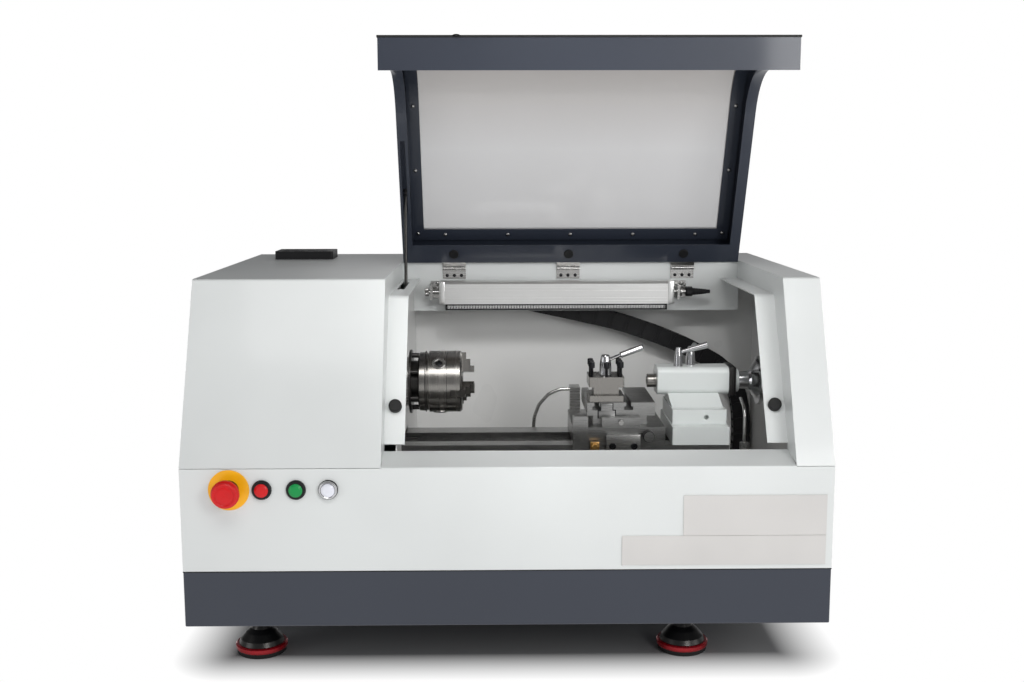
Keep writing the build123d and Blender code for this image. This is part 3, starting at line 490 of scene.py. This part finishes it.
def islands(name):
    """The loose parts of a CAD node as (middle, size) pairs, in millimetres, from left to right."""
    mesh = bmesh.new()
    mesh.from_mesh(nodes[name].data)
    bmesh.ops.remove_doubles(mesh, verts=mesh.verts, dist=1e-6)
    found, seen = [], set()
    for start in mesh.verts:
        if start in seen:
            continue
        group, stack = [], [start]
        seen.add(start)
        while stack:
            vert = stack.pop()
            group.append(vert.co.copy())
            for edge in vert.link_edges:
                other = edge.other_vert(vert)
                if other not in seen:
                    seen.add(other)
                    stack.append(other)
        low = Vector([min(c[i] for c in group) for i in range(3)])
        high = Vector([max(c[i] for c in group) for i in range(3)])
        found.append(((low + high) / 2 / MM, (high - low) / MM))
    mesh.free()
    return sorted(found, key=lambda item: (round(item[0].x), round(item[0].z)))


def limits(name):
    """A CAD node's lowest and highest corner, in millimetres."""
    low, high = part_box(name)
    return low / MM, high / MM


# ------------------------------------------------------------------ cabinet and lid

# painted shadow: a black strip along the seam between tray and cabinet, just proud of the sheet, stands for
# the shadow gap there
tray_low, tray_high = limits("base_tray")
seam_shadow = bmesh.new()
slab(seam_shadow, (tray_low.x - 0.25, tray_high.x + 0.25), (tray_low.y - 0.3, tray_high.y + 0.3),
     (tray_high.z - 0.3, tray_high.z + 1.3), bevel=0.2)
piece("tray_seam_shadow", seam_shadow, "root", "black_rubber", smooth=False)

# screws of the pane and the hinges; at rest the lid stands open by LID_OPEN
LID_OPEN = math.radians(65.5)
LID_INSIDE = Vector((0, -math.sin(LID_OPEN), -math.cos(LID_OPEN)))
heads = bmesh.new()
for middle, _ in islands("lid_screws"):
    domed_screw(heads, middle - LID_INSIDE, LID_INSIDE, radius=3.4, height=2.6)
piece("lid_screw_heads", heads, "lid", "bright_steel", stands_for=["lid_screws"])

HINGE_FACE_Y, HINGE_SCREW_Z, HINGE_SCREW_PITCH = 155.5, 574, 13
fixed_screws = bmesh.new()
for middle, _ in islands("hinge_leaves_fixed"):
    for step in (-HINGE_SCREW_PITCH, 0, HINGE_SCREW_PITCH):
        place = (middle.x + step, HINGE_FACE_Y, HINGE_SCREW_Z)
        domed_screw(fixed_screws, place, FRONT, radius=3.0, height=1.3)
piece("hinge_screws_fixed", fixed_screws, "root", "black_steel")

# rubber edging along the lid's front edge, and a domed screw on its top
lid_verts = [vert.co / MM for vert in nodes["lid_frame"].data.vertices]
lid_top = max(co.z for co in lid_verts)
lip = [co for co in lid_verts if co.z > lid_top - 0.6]
lip_front = min(co.y for co in lip)
edging = bmesh.new()
slab(edging, (min(co.x for co in lip) - 1.2, max(co.x for co in lip) + 1.2),
     (lip_front - 0.8, lip_front + 5), (lid_top - 2.4, lid_top + 1.0), bevel=0.5)
piece("lid_edging", edging, "lid", "black_rubber")

LID_TOP_SCREW = (-72, -262, 953.6)
top_screw = bmesh.new()
domed_screw(top_screw, LID_TOP_SCREW, UP, radius=6.0, height=3.0)
piece("lid_top_screw", top_screw, "lid", "black_steel")

# nut and washer at the end of the stay, which leans back from its pivot
STAY_PIVOT_Y, STAY_LENGTH, STAY_LEAN = 84, 205.6, math.radians(82.96)
stay_low, stay_high = limits("lid_stay")
stay_end = Vector((stay_low.x / 2 + stay_high.x / 2, STAY_PIVOT_Y + STAY_LENGTH * math.cos(STAY_LEAN),
                   stay_high.z))
nut = bmesh.new()
turned(nut, [(4.1, 0), (4.1, 5), (3.0, 5.4), (3.0, 8), (4.1, 8.4), (4.1, 13), (2.8, 14)],
       stay_end - Vector((0, 1.7, 14)), (0, math.cos(STAY_LEAN), math.sin(STAY_LEAN)), segments=6)
piece("stay_nut", nut, "stay", "black_steel", smooth=False)

# rim of the emergency stop, chrome ring of the white button
BEZEL_FACE_Y = -317.2
stop_low, stop_high = limits("estop_button")
stop_mid = (stop_low + stop_high) / 2
rim = bmesh.new()
turned(rim, [(14.2, 0), (14.2, 0.5), (15.2, 1.3), (17.0, 1.3), (18.4, 0.2), (18.4, -1.5), (14.2, -1.5)],
       (stop_mid.x, stop_low.y + 1.2, stop_mid.z), FRONT, segments=64)
piece("estop_rim", rim, "estop", "red_plastic")
white_low, white_high = limits("white_button")
white_mid = (white_low + white_high) / 2
ring = bmesh.new()
turned(ring, [(10.4, 0), (10.4, 1.8), (11.2, 2.4), (12.8, 2.2), (13.6, 1.2), (13.8, 0)],
       (white_mid.x, BEZEL_FACE_Y, white_mid.z), FRONT, segments=56)
piece("white_button_ring", ring, "root", "chrome")

# threads of the levelling feet
FOOT_THREAD_FROM, FOOT_PITCH, FOOT_TURNS = 64.2, 1.5, 18
thread = [(7.4, 0)]
for turn in range(FOOT_TURNS):
    thread += [(8.15, 0.6 + turn * FOOT_PITCH), (7.4, 1.3 + turn * FOOT_PITCH)]
threads = bmesh.new()
for middle, _ in islands("foot_studs"):
    turned(threads, thread, (middle.x, middle.y, FOOT_THREAD_FROM), UP, segments=28)
piece("stud_threads", threads, "root", "bright_steel")

# ------------------------------------------------------------------ carriage and tool post

# the bolts that hold the tool, threaded below their heads
BOLT_PITCH, BOLT_TURNS, BOLT_SHANK = 1.2, 11, 14.6
thread = [(2.5, 0)]
for turn in range(BOLT_TURNS):
    thread += [(2.1, 0.6 + turn * BOLT_PITCH), (2.55, 1.2 + turn * BOLT_PITCH)]
thread.append((2.5, BOLT_SHANK))
bolts = bmesh.new()
for middle, size in islands("tool_screws"):
    bottom = middle - Vector((0, 0, size.z / 2))
    turned(bolts, thread, bottom, UP, segments=20)
    socket_head(bolts, bottom + Vector((0, 0, 14)), UP, radius=4.6, height=9.6)
piece("tool_post_bolts", bolts, "tool_post", "black_steel", stands_for=["tool_screws"])

# gib plate on the front of the saddle, with its bolts
GIB_X, GIB_Y, GIB_Z = (156, 210), (-178, -175), (320, 351)
GIB_BOLT_X, GIB_BOLT_Y, GIB_BOLT_Z = (166, 200), -176.5, 333
plate_bolts = bmesh.new()
for x in GIB_BOLT_X:
    socket_head(plate_bolts, (x, GIB_BOLT_Y, GIB_BOLT_Z), FRONT, radius=5.4, height=4.0)
piece("dovetail_plate_bolts", plate_bolts, "carriage", "black_steel")
gib = bmesh.new()
slab(gib, GIB_X, GIB_Y, GIB_Z, bevel=0.8)
piece("gib_plate", gib, "carriage", "bright_steel")

# lever of the tool post: tapered hub, thin neck, fat grip
HUB_AT = Vector((159, -116, 437.3))
GRIP_ROOT = HUB_AT + Vector((0, 0, 22))
GRIP_END = Vector((218, -122, 483))
grip_long = (GRIP_END - GRIP_ROOT).length
handle = bmesh.new()
turned(handle, [(10.2, 0), (10.2, 2), (9.6, 3), (9.6, 15), (8.6, 24), (7.0, 30), (6.4, 31.2), (5.4, 32),
                (0, 32.2)], HUB_AT, UP, segments=48)
turned(handle, [(3.0, 4), (3.0, 25), (3.4, 25.6), (5.2, 26.2), (5.4, 27.5), (4.9, 28.4),
                (5.6, grip_long - 1.2), (4.8, grip_long), (0, grip_long)],
       GRIP_ROOT, (GRIP_END - GRIP_ROOT).normalized(), segments=32)
piece("tool_post_handle", handle, "post_lever", "chrome", stands_for=["tool_post_lever"])

# T-nut in the front of the cross slide, in the dark gap of its slot; the gap is a black slab, painted shade
NUT_X, NUT_NECK, NUT_FOOT, NUT_GAP = 159, 9, 13, 1.6
slide_low, slide_high = limits("cross_slide")
nut_back = slide_low.y + 1
# painted shade: a black slab fills the slot's gap round the T-nut
nut_slot_shadow = bmesh.new()
slab(nut_slot_shadow, about(NUT_X, NUT_NECK + NUT_GAP), (slide_low.y - 0.5, nut_back), (377.5, slide_high.z - 0.5),
     bevel=0.1)
slab(nut_slot_shadow, about(NUT_X, NUT_FOOT + NUT_GAP), (slide_low.y - 0.55, nut_back), (371.5, 385.5), bevel=0.1)
piece("t_nut_slot_shadow", nut_slot_shadow, "cross_slide", "black_steel", smooth=False)
t_nut = bmesh.new()
slab(t_nut, about(NUT_X, NUT_NECK), (slide_low.y - 1.8, nut_back), (374, slide_high.z - 1), bevel=0.5)
slab(t_nut, about(NUT_X, NUT_FOOT), (slide_low.y - 1.9, nut_back), (373, 384), bevel=0.5)
piece("t_nut", t_nut, "cross_slide", "ground_iron")

# knob and brass nut on the front of the saddle
KNOB_AT = (223, -166, 348)
BRASS_X, BRASS_Y, BRASS_Z = 138, -181, 333.5
knob = bmesh.new()
knurled(knob, KNOB_AT, FRONT, radius=9.2, length=15, teeth=22, depth=0.5, edge=1.2)
piece("saddle_knob", knob, "carriage", "black_plastic")
brass = bmesh.new()
slab(brass, about(BRASS_X, 7), (BRASS_Y, BRASS_Y + 7.2), about(BRASS_Z, 6.5), bevel=0.8)
turned(brass, [(5.2, 0), (5.2, 2.4), (4.2, 3.2), (0, 3.2)], (BRASS_X, BRASS_Y, BRASS_Z), FRONT, segments=6)
piece("brass_nut", brass, "carriage", finish=BRASS)

# ------------------------------------------------------------------ lamp

# end caps, knurled stub, cable gland
lamp_low, lamp_high = limits("lamp_housing")
lamp_mid = (lamp_low + lamp_high) / 2


def on_lamp(x):
    """The point of the lamp's tilting axis at x."""
    return Vector((x, lamp_mid.y, lamp_mid.z))


caps = bmesh.new()
for side in ((lamp_low.x - 10, lamp_low.x), (lamp_high.x, lamp_high.x + 11)):
    slab(caps, side, (lamp_low.y - 0.2, lamp_high.y + 0.2), (lamp_low.z - 0.2, lamp_high.z + 0.2),
         bevel=1.6)
piece("lamp_caps", caps, "lamp", "aluminium", stands_for=["lamp_ends"])

pins = bmesh.new()
knurled(pins, on_lamp(lamp_low.x - 9), LEFT, radius=4.0, length=23, teeth=20, depth=0.05, edge=0.3)
knurled(pins, on_lamp(lamp_low.x - 29), LEFT, radius=7.2, length=7.5, teeth=30, depth=0.5, edge=0.9)
turned(pins, [(4, 0), (4, 8), (9, 8), (9.6, 9), (9.6, 13), (9, 14), (8.4, 14.4), (8.4, 17), (4, 17),
              (4, 24)], on_lamp(lamp_high.x + 10), RIGHT, segments=32)
piece("lamp_pins", pins, "lamp", "bright_steel")

GLAND_RIBS, GLAND_PITCH = 8, 3.3
gland_at = on_lamp(lamp_high.x + 34)
gland = bmesh.new()
knurled(gland, gland_at, RIGHT, radius=9, length=12, teeth=9, depth=0.7, edge=0.8)
ribs = [(6.8, 0)]
for rib in range(GLAND_RIBS):
    ribs += [(7.0 - rib * 0.35, 12.5 + rib * GLAND_PITCH), (6.0 - rib * 0.32, 14.1 + rib * GLAND_PITCH)]
ribs += [(3.4, 40.5), (3.2, 44), (0, 44)]
turned(gland, ribs, gland_at, RIGHT, segments=28)
piece("lamp_gland", gland, "lamp", "black_plastic")

# black surround, strip of light fins, glass
lens_low, lens_high = limits("lamp_lens")
lens_x, lens_y, lens_z = zip(lens_low, lens_high)
surround = bmesh.new()
for y in ((lens_low.y, lens_low.y + 2.2), (lens_high.y - 2.2, lens_high.y)):
    slab(surround, lens_x, y, (lens_low.z + 8.4, lens_high.z))
    slab(surround, lens_x, y, (lens_low.z, lens_low.z + 2.6))
for x in ((lens_low.x, lens_low.x + 3), (lens_high.x - 3, lens_high.x)):
    slab(surround, x, lens_y, lens_z)
slab(surround, (lens_low.x + 2, lens_high.x - 2), (lens_low.y + 4, lens_high.y - 4),
     (lens_low.z + 9, lens_high.z))
piece("lamp_surround", surround, "lamp", "black_plastic")

FIN_COUNT, FIN_MARGIN, FIN_SHARE = 78, 5, 0.55
fin_step = (lens_high.x - lens_low.x - 2 * FIN_MARGIN) / FIN_COUNT
fins = bmesh.new()
for k in range(FIN_COUNT):
    x = lens_low.x + FIN_MARGIN + k * fin_step
    raised = 0.6 if k % 3 else 0.0
    slab(fins, (x, x + fin_step * FIN_SHARE), (lens_low.y + 1.4, lens_high.y - 1.4),
         (lens_low.z + 2.2 + raised, lens_low.z + 8.8), bevel=0.15)
piece("lamp_fins", fins, "lamp", "aluminium", smooth=False)
glass = bmesh.new()
slab(glass, (lens_low.x + 1, lens_high.x - 1), (lens_low.y + 0.8, lens_high.y - 0.8),
     (lens_low.z + 0.8, lens_low.z + 9), bevel=0.8)
piece("lamp_glass", glass, "lamp", "lamp_lens", stands_for=["lamp_lens"])

bracket_screws = bmesh.new()
for middle, size in islands("lamp_brackets"):
    place = (middle.x + size.x / 2 - 8, middle.y + size.y / 2 - 3, middle.z + 11)
    domed_screw(bracket_screws, place, FRONT, radius=4.2, height=2.4)
piece("lamp_bracket_screws", bracket_screws, "root", "bright_steel")

# ------------------------------------------------------------------ cable carrier

# the route of its CAD solid, as (x, z) points
CHAIN_ROUTE = [(40, 524), (132, 504), (212, 486), (300, 455), (356, 429), (418, 392), (443, 318),
               (438, 197)]
CHAIN_PITCH = 15.0
CHAIN_ROUNDS = 3
LINK_ROUND, LINK_REACH, LINK_HALF = 6.0, 6.2, 15.2
LINK_STEPS = 10
BAR_X, BAR_Z = (-4.5, 4.5), ((-15.4, -13.2), (13.2, 15.4))


def smooth_route(route, rounds):
    """The route with its corners cut, rounds times."""
    for _ in range(rounds):
        cut = [route[0]]
        for a, b in zip(route, route[1:]):
            cut.append((a[0] * 0.75 + b[0] * 0.25, a[1] * 0.75 + b[1] * 0.25))
            cut.append((a[0] * 0.25 + b[0] * 0.75, a[1] * 0.25 + b[1] * 0.75))
        cut.append(route[-1])
        route = cut
    return route


def stations(route, pitch):
    """Points every pitch along the route, each with its heading."""
    found, left = [], pitch / 2
    for a, b in zip(route, route[1:]):
        run = Vector(b) - Vector(a)
        at = left
        while at < run.length:
            found.append((Vector(a) + run.normalized() * at, math.atan2(run.y, run.x)))
            at += pitch
        left = at - run.length
    return found


def link_plate(mesh, matrix, face_y, inward):
    """One side plate of a link: a long rounded outline with a softened rim, 3 mm thick."""
    outline = []
    for k in range(LINK_STEPS + 1):
        angle = math.pi / 2 - math.pi * k / LINK_STEPS
        outline.append((LINK_REACH + LINK_ROUND * math.cos(angle), LINK_HALF * math.sin(angle)))
    outline += [(-x, -z) for x, z in outline]
    rings = []
    for wide, tall, depth in ((1, 1, 0), (1.04, 1.03, 0.6), (1.04, 1.03, 3.0)):
        rings.append([mesh.verts.new(matrix @ Vector((x * wide, face_y + inward * depth, z * tall)))
                      for x, z in outline])
    mesh.faces.new(rings[0])
    mesh.faces.new(rings[-1])
    bridge(mesh, rings)


chain_low, chain_high = limits("drag_chain")
links = bmesh.new()
for count, (point, heading) in enumerate(stations(smooth_route(CHAIN_ROUTE, CHAIN_ROUNDS), CHAIN_PITCH)):
    link_at = Matrix.Translation((point.x, 0, point.y)) @ Matrix.Rotation(-heading, 4, "Y")
    inset = 0.0 if count % 2 else 1.3
    link_plate(links, link_at, chain_low.y + inset, 1)
    link_plate(links, link_at, chain_high.y - inset, -1)
    for z in BAR_Z:
        bar = bmesh.new()
        slab(bar, BAR_X, (chain_low.y + 2, chain_high.y - 2), z, bevel=0.5)
        bmesh.ops.transform(bar, matrix=link_at, verts=bar.verts)
        shape = bpy.data.meshes.new("bar")
        bar.to_mesh(shape)
        bar.free()
        links.from_mesh(shape)
        bpy.data.meshes.remove(shape)
piece("cable_carrier", links, "root", "black_plastic", stands_for=["drag_chain"])

# ------------------------------------------------------------------ tailstock and chuck

# ribbed end cap of the tailstock
CAP_X, CAP_Y, CAP_Z = (361, 369), (-108.6, -55.4), (400.4, 446.6)
RIB_COUNT, RIB_FROM, RIB_PITCH, RIB_THICK = 4, 362, 2.9, 1.6
RIB_Y, RIB_Z = (-109.6, -54.4), (401, 446)
cap = bmesh.new()
slab(cap, CAP_X, CAP_Y, CAP_Z, bevel=1.2)
for step in range(RIB_COUNT):
    x = RIB_FROM + step * RIB_PITCH
    slab(cap, (x, x + RIB_THICK), RIB_Y, RIB_Z, bevel=0.3)
piece("tailstock_cap", cap, "tailstock", "dark_steel")

# chuck: rings and mouths of the key sockets, grooves, screws on the face; the dark grooves and socket
# mouths are painted shade
SPINDLE = Vector((0, -82, 421))
KEY_ANGLES, FACE_SCREW_ANGLES = (15, 135, 255), (45, 165, 285)
KEY_RADIUS, FACE_SCREW_RADIUS = 49.4, 36
chuck_low, chuck_high = limits("chuck_body")
key_x = chuck_low.x + 34


def from_spindle(degrees):
    """The way out from the spindle's axis at an angle above the back."""
    return Vector((0, math.cos(math.radians(degrees)), math.sin(math.radians(degrees))))


def on_chuck(x, radius=0.0, degrees=0.0):
    """The point at x that lies radius from the spindle's axis."""
    return SPINDLE + Vector((x, 0, 0)) + from_spindle(degrees) * radius


trims = bmesh.new()
for angle in KEY_ANGLES:
    turned(trims, [(6.6, 0), (6.6, 1.6), (7.2, 2.1), (9.8, 2.1), (10.8, 1.2), (10.8, 0)],
           on_chuck(key_x, KEY_RADIUS, angle), from_spindle(angle))
piece("chuck_socket_rings", trims, "spindle", "bright_steel")
groove_and_socket_shade = bmesh.new()
# black bands and caps as painted shade in the grooves and key sockets
for along, wide in ((11.0, 0.9), (46.0, 0.6)):
    turned(groove_and_socket_shade, [(49.8, 0), (50.15, 0), (50.15, wide), (49.8, wide)],
           on_chuck(chuck_low.x + along), RIGHT, segments=96)
for angle in KEY_ANGLES:
    turned(groove_and_socket_shade, [(6.2, 0), (6.2, 1.0), (5.4, 1.3), (0, 1.3)], on_chuck(key_x, KEY_RADIUS, angle),
           from_spindle(angle), segments=4)
piece("chuck_groove_and_socket_shade", groove_and_socket_shade, "spindle", "black_steel")
face_screws = bmesh.new()
for angle in FACE_SCREW_ANGLES:
    place = on_chuck(chuck_high.x - 0.5, FACE_SCREW_RADIUS, angle)
    socket_head(face_screws, place, RIGHT, radius=4.6, height=2.0)
piece("chuck_face_screws", face_screws, "spindle", "black_steel")

# ------------------------------------------------------------------ covers, louvres and power inlet


def facing(place, out_way):
    """A frame at place: local Z points outwards, local Y upwards."""
    outward = Vector(out_way)
    side = Vector(UP).cross(outward)
    turn = Matrix((side, Vector(UP), outward)).transposed().to_4x4()
    return Matrix.Translation(Vector(place)) @ turn


# points round each corner of a panel
PANEL_STEPS = 8


def panel(mesh, matrix, width, height, corner, thick):
    """A flat plate with rounded corners and a softened rim."""
    rings = []
    for level, inset in ((-0.5, 0), (thick * 0.5, 0), (thick, thick * 0.6)):
        ring = []
        for step in range(4 * PANEL_STEPS):
            quarter, part = divmod(step, PANEL_STEPS)
            angle = math.pi / 2 * (quarter + part / (PANEL_STEPS - 1))
            across = (width / 2 - corner) * (1 if quarter in (0, 3) else -1)
            up = (height / 2 - corner) * (1 if quarter < 2 else -1)
            reach = corner - inset
            ring.append(mesh.verts.new(matrix @ Vector((across + reach * math.cos(angle),
                                                        up + reach * math.sin(angle), level))))
        rings.append(ring)
    bridge(mesh, rings)
    mesh.faces.new(rings[0])
    mesh.faces.new(rings[-1])


def louvre(mesh, matrix, width, height, deep):
    """A pressed hood, domed towards its ends; the dark gap under it is a slab of its own, painted shade for
    the opening.
    """
    steps, rows = 18, 5
    grid = []
    for row in range(rows + 1):
        line = []
        for step in range(steps + 1):
            along = step / steps
            swell = min(1.0, math.sin(math.pi * along) * 3.0) ** 0.5 if 0 < step < steps else 0
            rise = math.sin(math.pi / 2 * row / rows)
            line.append(mesh.verts.new(matrix @ Vector(((along - 0.5) * width, height * (0.5 - row / rows),
                                                        deep * rise * swell + 0.05))))
        grid.append(line)
    grid.append([mesh.verts.new(matrix @ Vector(((step / steps - 0.5) * width, -height / 2, -0.3)))
                 for step in range(steps + 1)])
    for low, high in zip(grid, grid[1:]):
        for k in range(steps):
            mesh.faces.new([low[k], low[k + 1], high[k + 1], high[k]])


back_face = cad_box[1].y / MM - 0.1
end_face = cad_box[1].x / MM
COVER_THICK = 1.3
BACK_COVER_X, BACK_COVER_Z, BACK_COVER_SIZE = (-235, 215), 355, (330, 240)
END_COVER_Y, END_COVER_Z, END_COVER_SIZE = 60, 360, (300, 250)
SCREW_IN, END_SCREW_IN = 12, 13
LOUVRE_PITCH, LOUVRE_TALL = 20, 10
BACK_LOUVRE_ROWS, BACK_LOUVRE_Z, BACK_LOUVRE_OUT, BACK_LOUVRE_WIDE = 6, 300, 55, 84
END_LOUVRE_ROWS, END_LOUVRE_Z, END_LOUVRE_Y, END_LOUVRE_WIDE = 5, 250, 150, 90


def mouth_below(z):
    """The (low, high) limits of the dark gap under a louvre at z, a slab of painted shade."""
    return (z - 7.6, z - 5.2)


covers = bmesh.new()
cover_screws = bmesh.new()
hoods = bmesh.new()
mouth_shadows = bmesh.new()
width, height = BACK_COVER_SIZE
for middle_x in BACK_COVER_X:
    place = (middle_x, back_face, BACK_COVER_Z)
    panel(covers, facing(place, BACK), width, height, corner=10, thick=COVER_THICK)
    for across in (-1, 0, 1):
        for up in (-1, 1):
            place = (middle_x + across * (width / 2 - SCREW_IN), back_face + 1.2,
                     BACK_COVER_Z + up * (height / 2 - SCREW_IN))
            domed_screw(cover_screws, place, BACK, radius=4.2, height=1.8)
    for row in range(BACK_LOUVRE_ROWS):
        z = BACK_LOUVRE_Z + row * LOUVRE_PITCH
        for x in (middle_x - BACK_LOUVRE_OUT, middle_x + BACK_LOUVRE_OUT):
            louvre(hoods, facing((x, back_face + 1.25, z), BACK), BACK_LOUVRE_WIDE, LOUVRE_TALL, deep=3.2)
            slab(mouth_shadows, about(x, 38), (back_face + 1.2, back_face + 1.7), mouth_below(z), bevel=0.1)
width, height = END_COVER_SIZE
place = (-end_face, END_COVER_Y, END_COVER_Z)
panel(covers, facing(place, LEFT), width, height, corner=12, thick=COVER_THICK)
for along in (-1, 1):
    for up in (-1, 0, 1):
        place = (-end_face - 1.2, END_COVER_Y + along * (width / 2 - SCREW_IN),
                 END_COVER_Z + up * (height / 2 - END_SCREW_IN))
        domed_screw(cover_screws, place, LEFT, radius=4.2, height=1.6)
for row in range(END_LOUVRE_ROWS):
    z = END_LOUVRE_Z + row * LOUVRE_PITCH
    louvre(hoods, facing((end_face + 0.05, END_LOUVRE_Y, z), RIGHT), END_LOUVRE_WIDE, LOUVRE_TALL, deep=2.6)
    slab(mouth_shadows, (end_face - 0.2, end_face + 0.5), about(END_LOUVRE_Y, 42), mouth_below(z), bevel=0.1)
piece("service_covers", covers, "root", "cabinet_light")
piece("cover_screws", cover_screws, "root", "bright_steel")
piece("louvres", hoods, "root", "cabinet_light")
# black slabs as painted shade in the louvres' openings
piece("louvre_mouth_shadows", mouth_shadows, "root", "black_rubber", smooth=False)

INLET_X, INLET_Z, INLET_HALF, INLET_SCREW = 414, 232, 24, 18
inlet = bmesh.new()
slab(inlet, about(INLET_X, INLET_HALF), (back_face - 1, back_face + 2.2), about(INLET_Z, INLET_HALF),
     bevel=1.0)
turned(inlet, [(15, 0), (15, 2.4), (13.6, 3.6), (11.5, 3.6), (11.5, 1.0), (0, 1.0)],
       (INLET_X, back_face + 2, INLET_Z), BACK)
for x in (INLET_X - INLET_SCREW, INLET_X + INLET_SCREW):
    for z in (INLET_Z - INLET_SCREW, INLET_Z + INLET_SCREW):
        domed_screw(inlet, (x, back_face + 2.1, z), BACK, radius=2.6, height=1.2)
piece("power_inlet", inlet, "root", "black_plastic")

# ------------------------------------------------------------------ floor

# painted shadow: grey under the machine, fading to white over FLOOR_FADE from FLOOR_IN inside its box's
# sides
FLOOR_HALF, FLOOR_Y, FLOOR_DROP = 14.0, 6.0, 0.0005
FLOOR_IN, FLOOR_FADE = Vector((0.05, 0.15, 0)), 0.1
bpy.ops.mesh.primitive_grid_add(x_subdivisions=4, y_subdivisions=4, size=2 * FLOOR_HALF,
                                location=(0, FLOOR_Y, -FLOOR_DROP))
floor = bpy.context.object
floor.name = "floor"
# grey colour as painted shadow under the machine
ground = Finish("floor", (0.3, 0.3, 0.3), 0.7)
ground.mottle(scale=0.6, amount=0.01)
ground.uneven(scale=3, amount=0.06)
level = ground.add("ShaderNodeMapping", Location=(0, FLOOR_Y, 0), Scale=(1.0, 1.0, 0))
mirrored = ground.add("ShaderNodeVectorMath", "ABSOLUTE")
beyond = ground.add("ShaderNodeVectorMath", "SUBTRACT")
beyond.inputs[1].default_value = Vector((cad_box[1].x, cad_box[1].y, 0)) - FLOOR_IN
outside = ground.add("ShaderNodeVectorMath", "MAXIMUM")
away = ground.add("ShaderNodeVectorMath", "LENGTH")
ground.link(ground.coordinates, level.inputs["Vector"])
ground.link(level.outputs[0], mirrored.inputs[0])
ground.link(mirrored.outputs[0], beyond.inputs[0])
ground.link(beyond.outputs[0], outside.inputs[0])
ground.link(outside.outputs[0], away.inputs[0])
bright = ground.add("ShaderNodeEmission", Color=(1, 1, 1, 1), Strength=1.0)
fade = ground.add("ShaderNodeMixShader")
ground.link(ground.ramp(away.outputs["Value"], 0.0, FLOOR_FADE), fade.inputs["Fac"])
ground.link(ground.shader.outputs[0], fade.inputs[1])
ground.link(bright.outputs[0], fade.inputs[2])
ground.link(fade.outputs[0], ground.tree.nodes["Material Output"].inputs["Surface"])
floor.data.materials.append(ground.material)
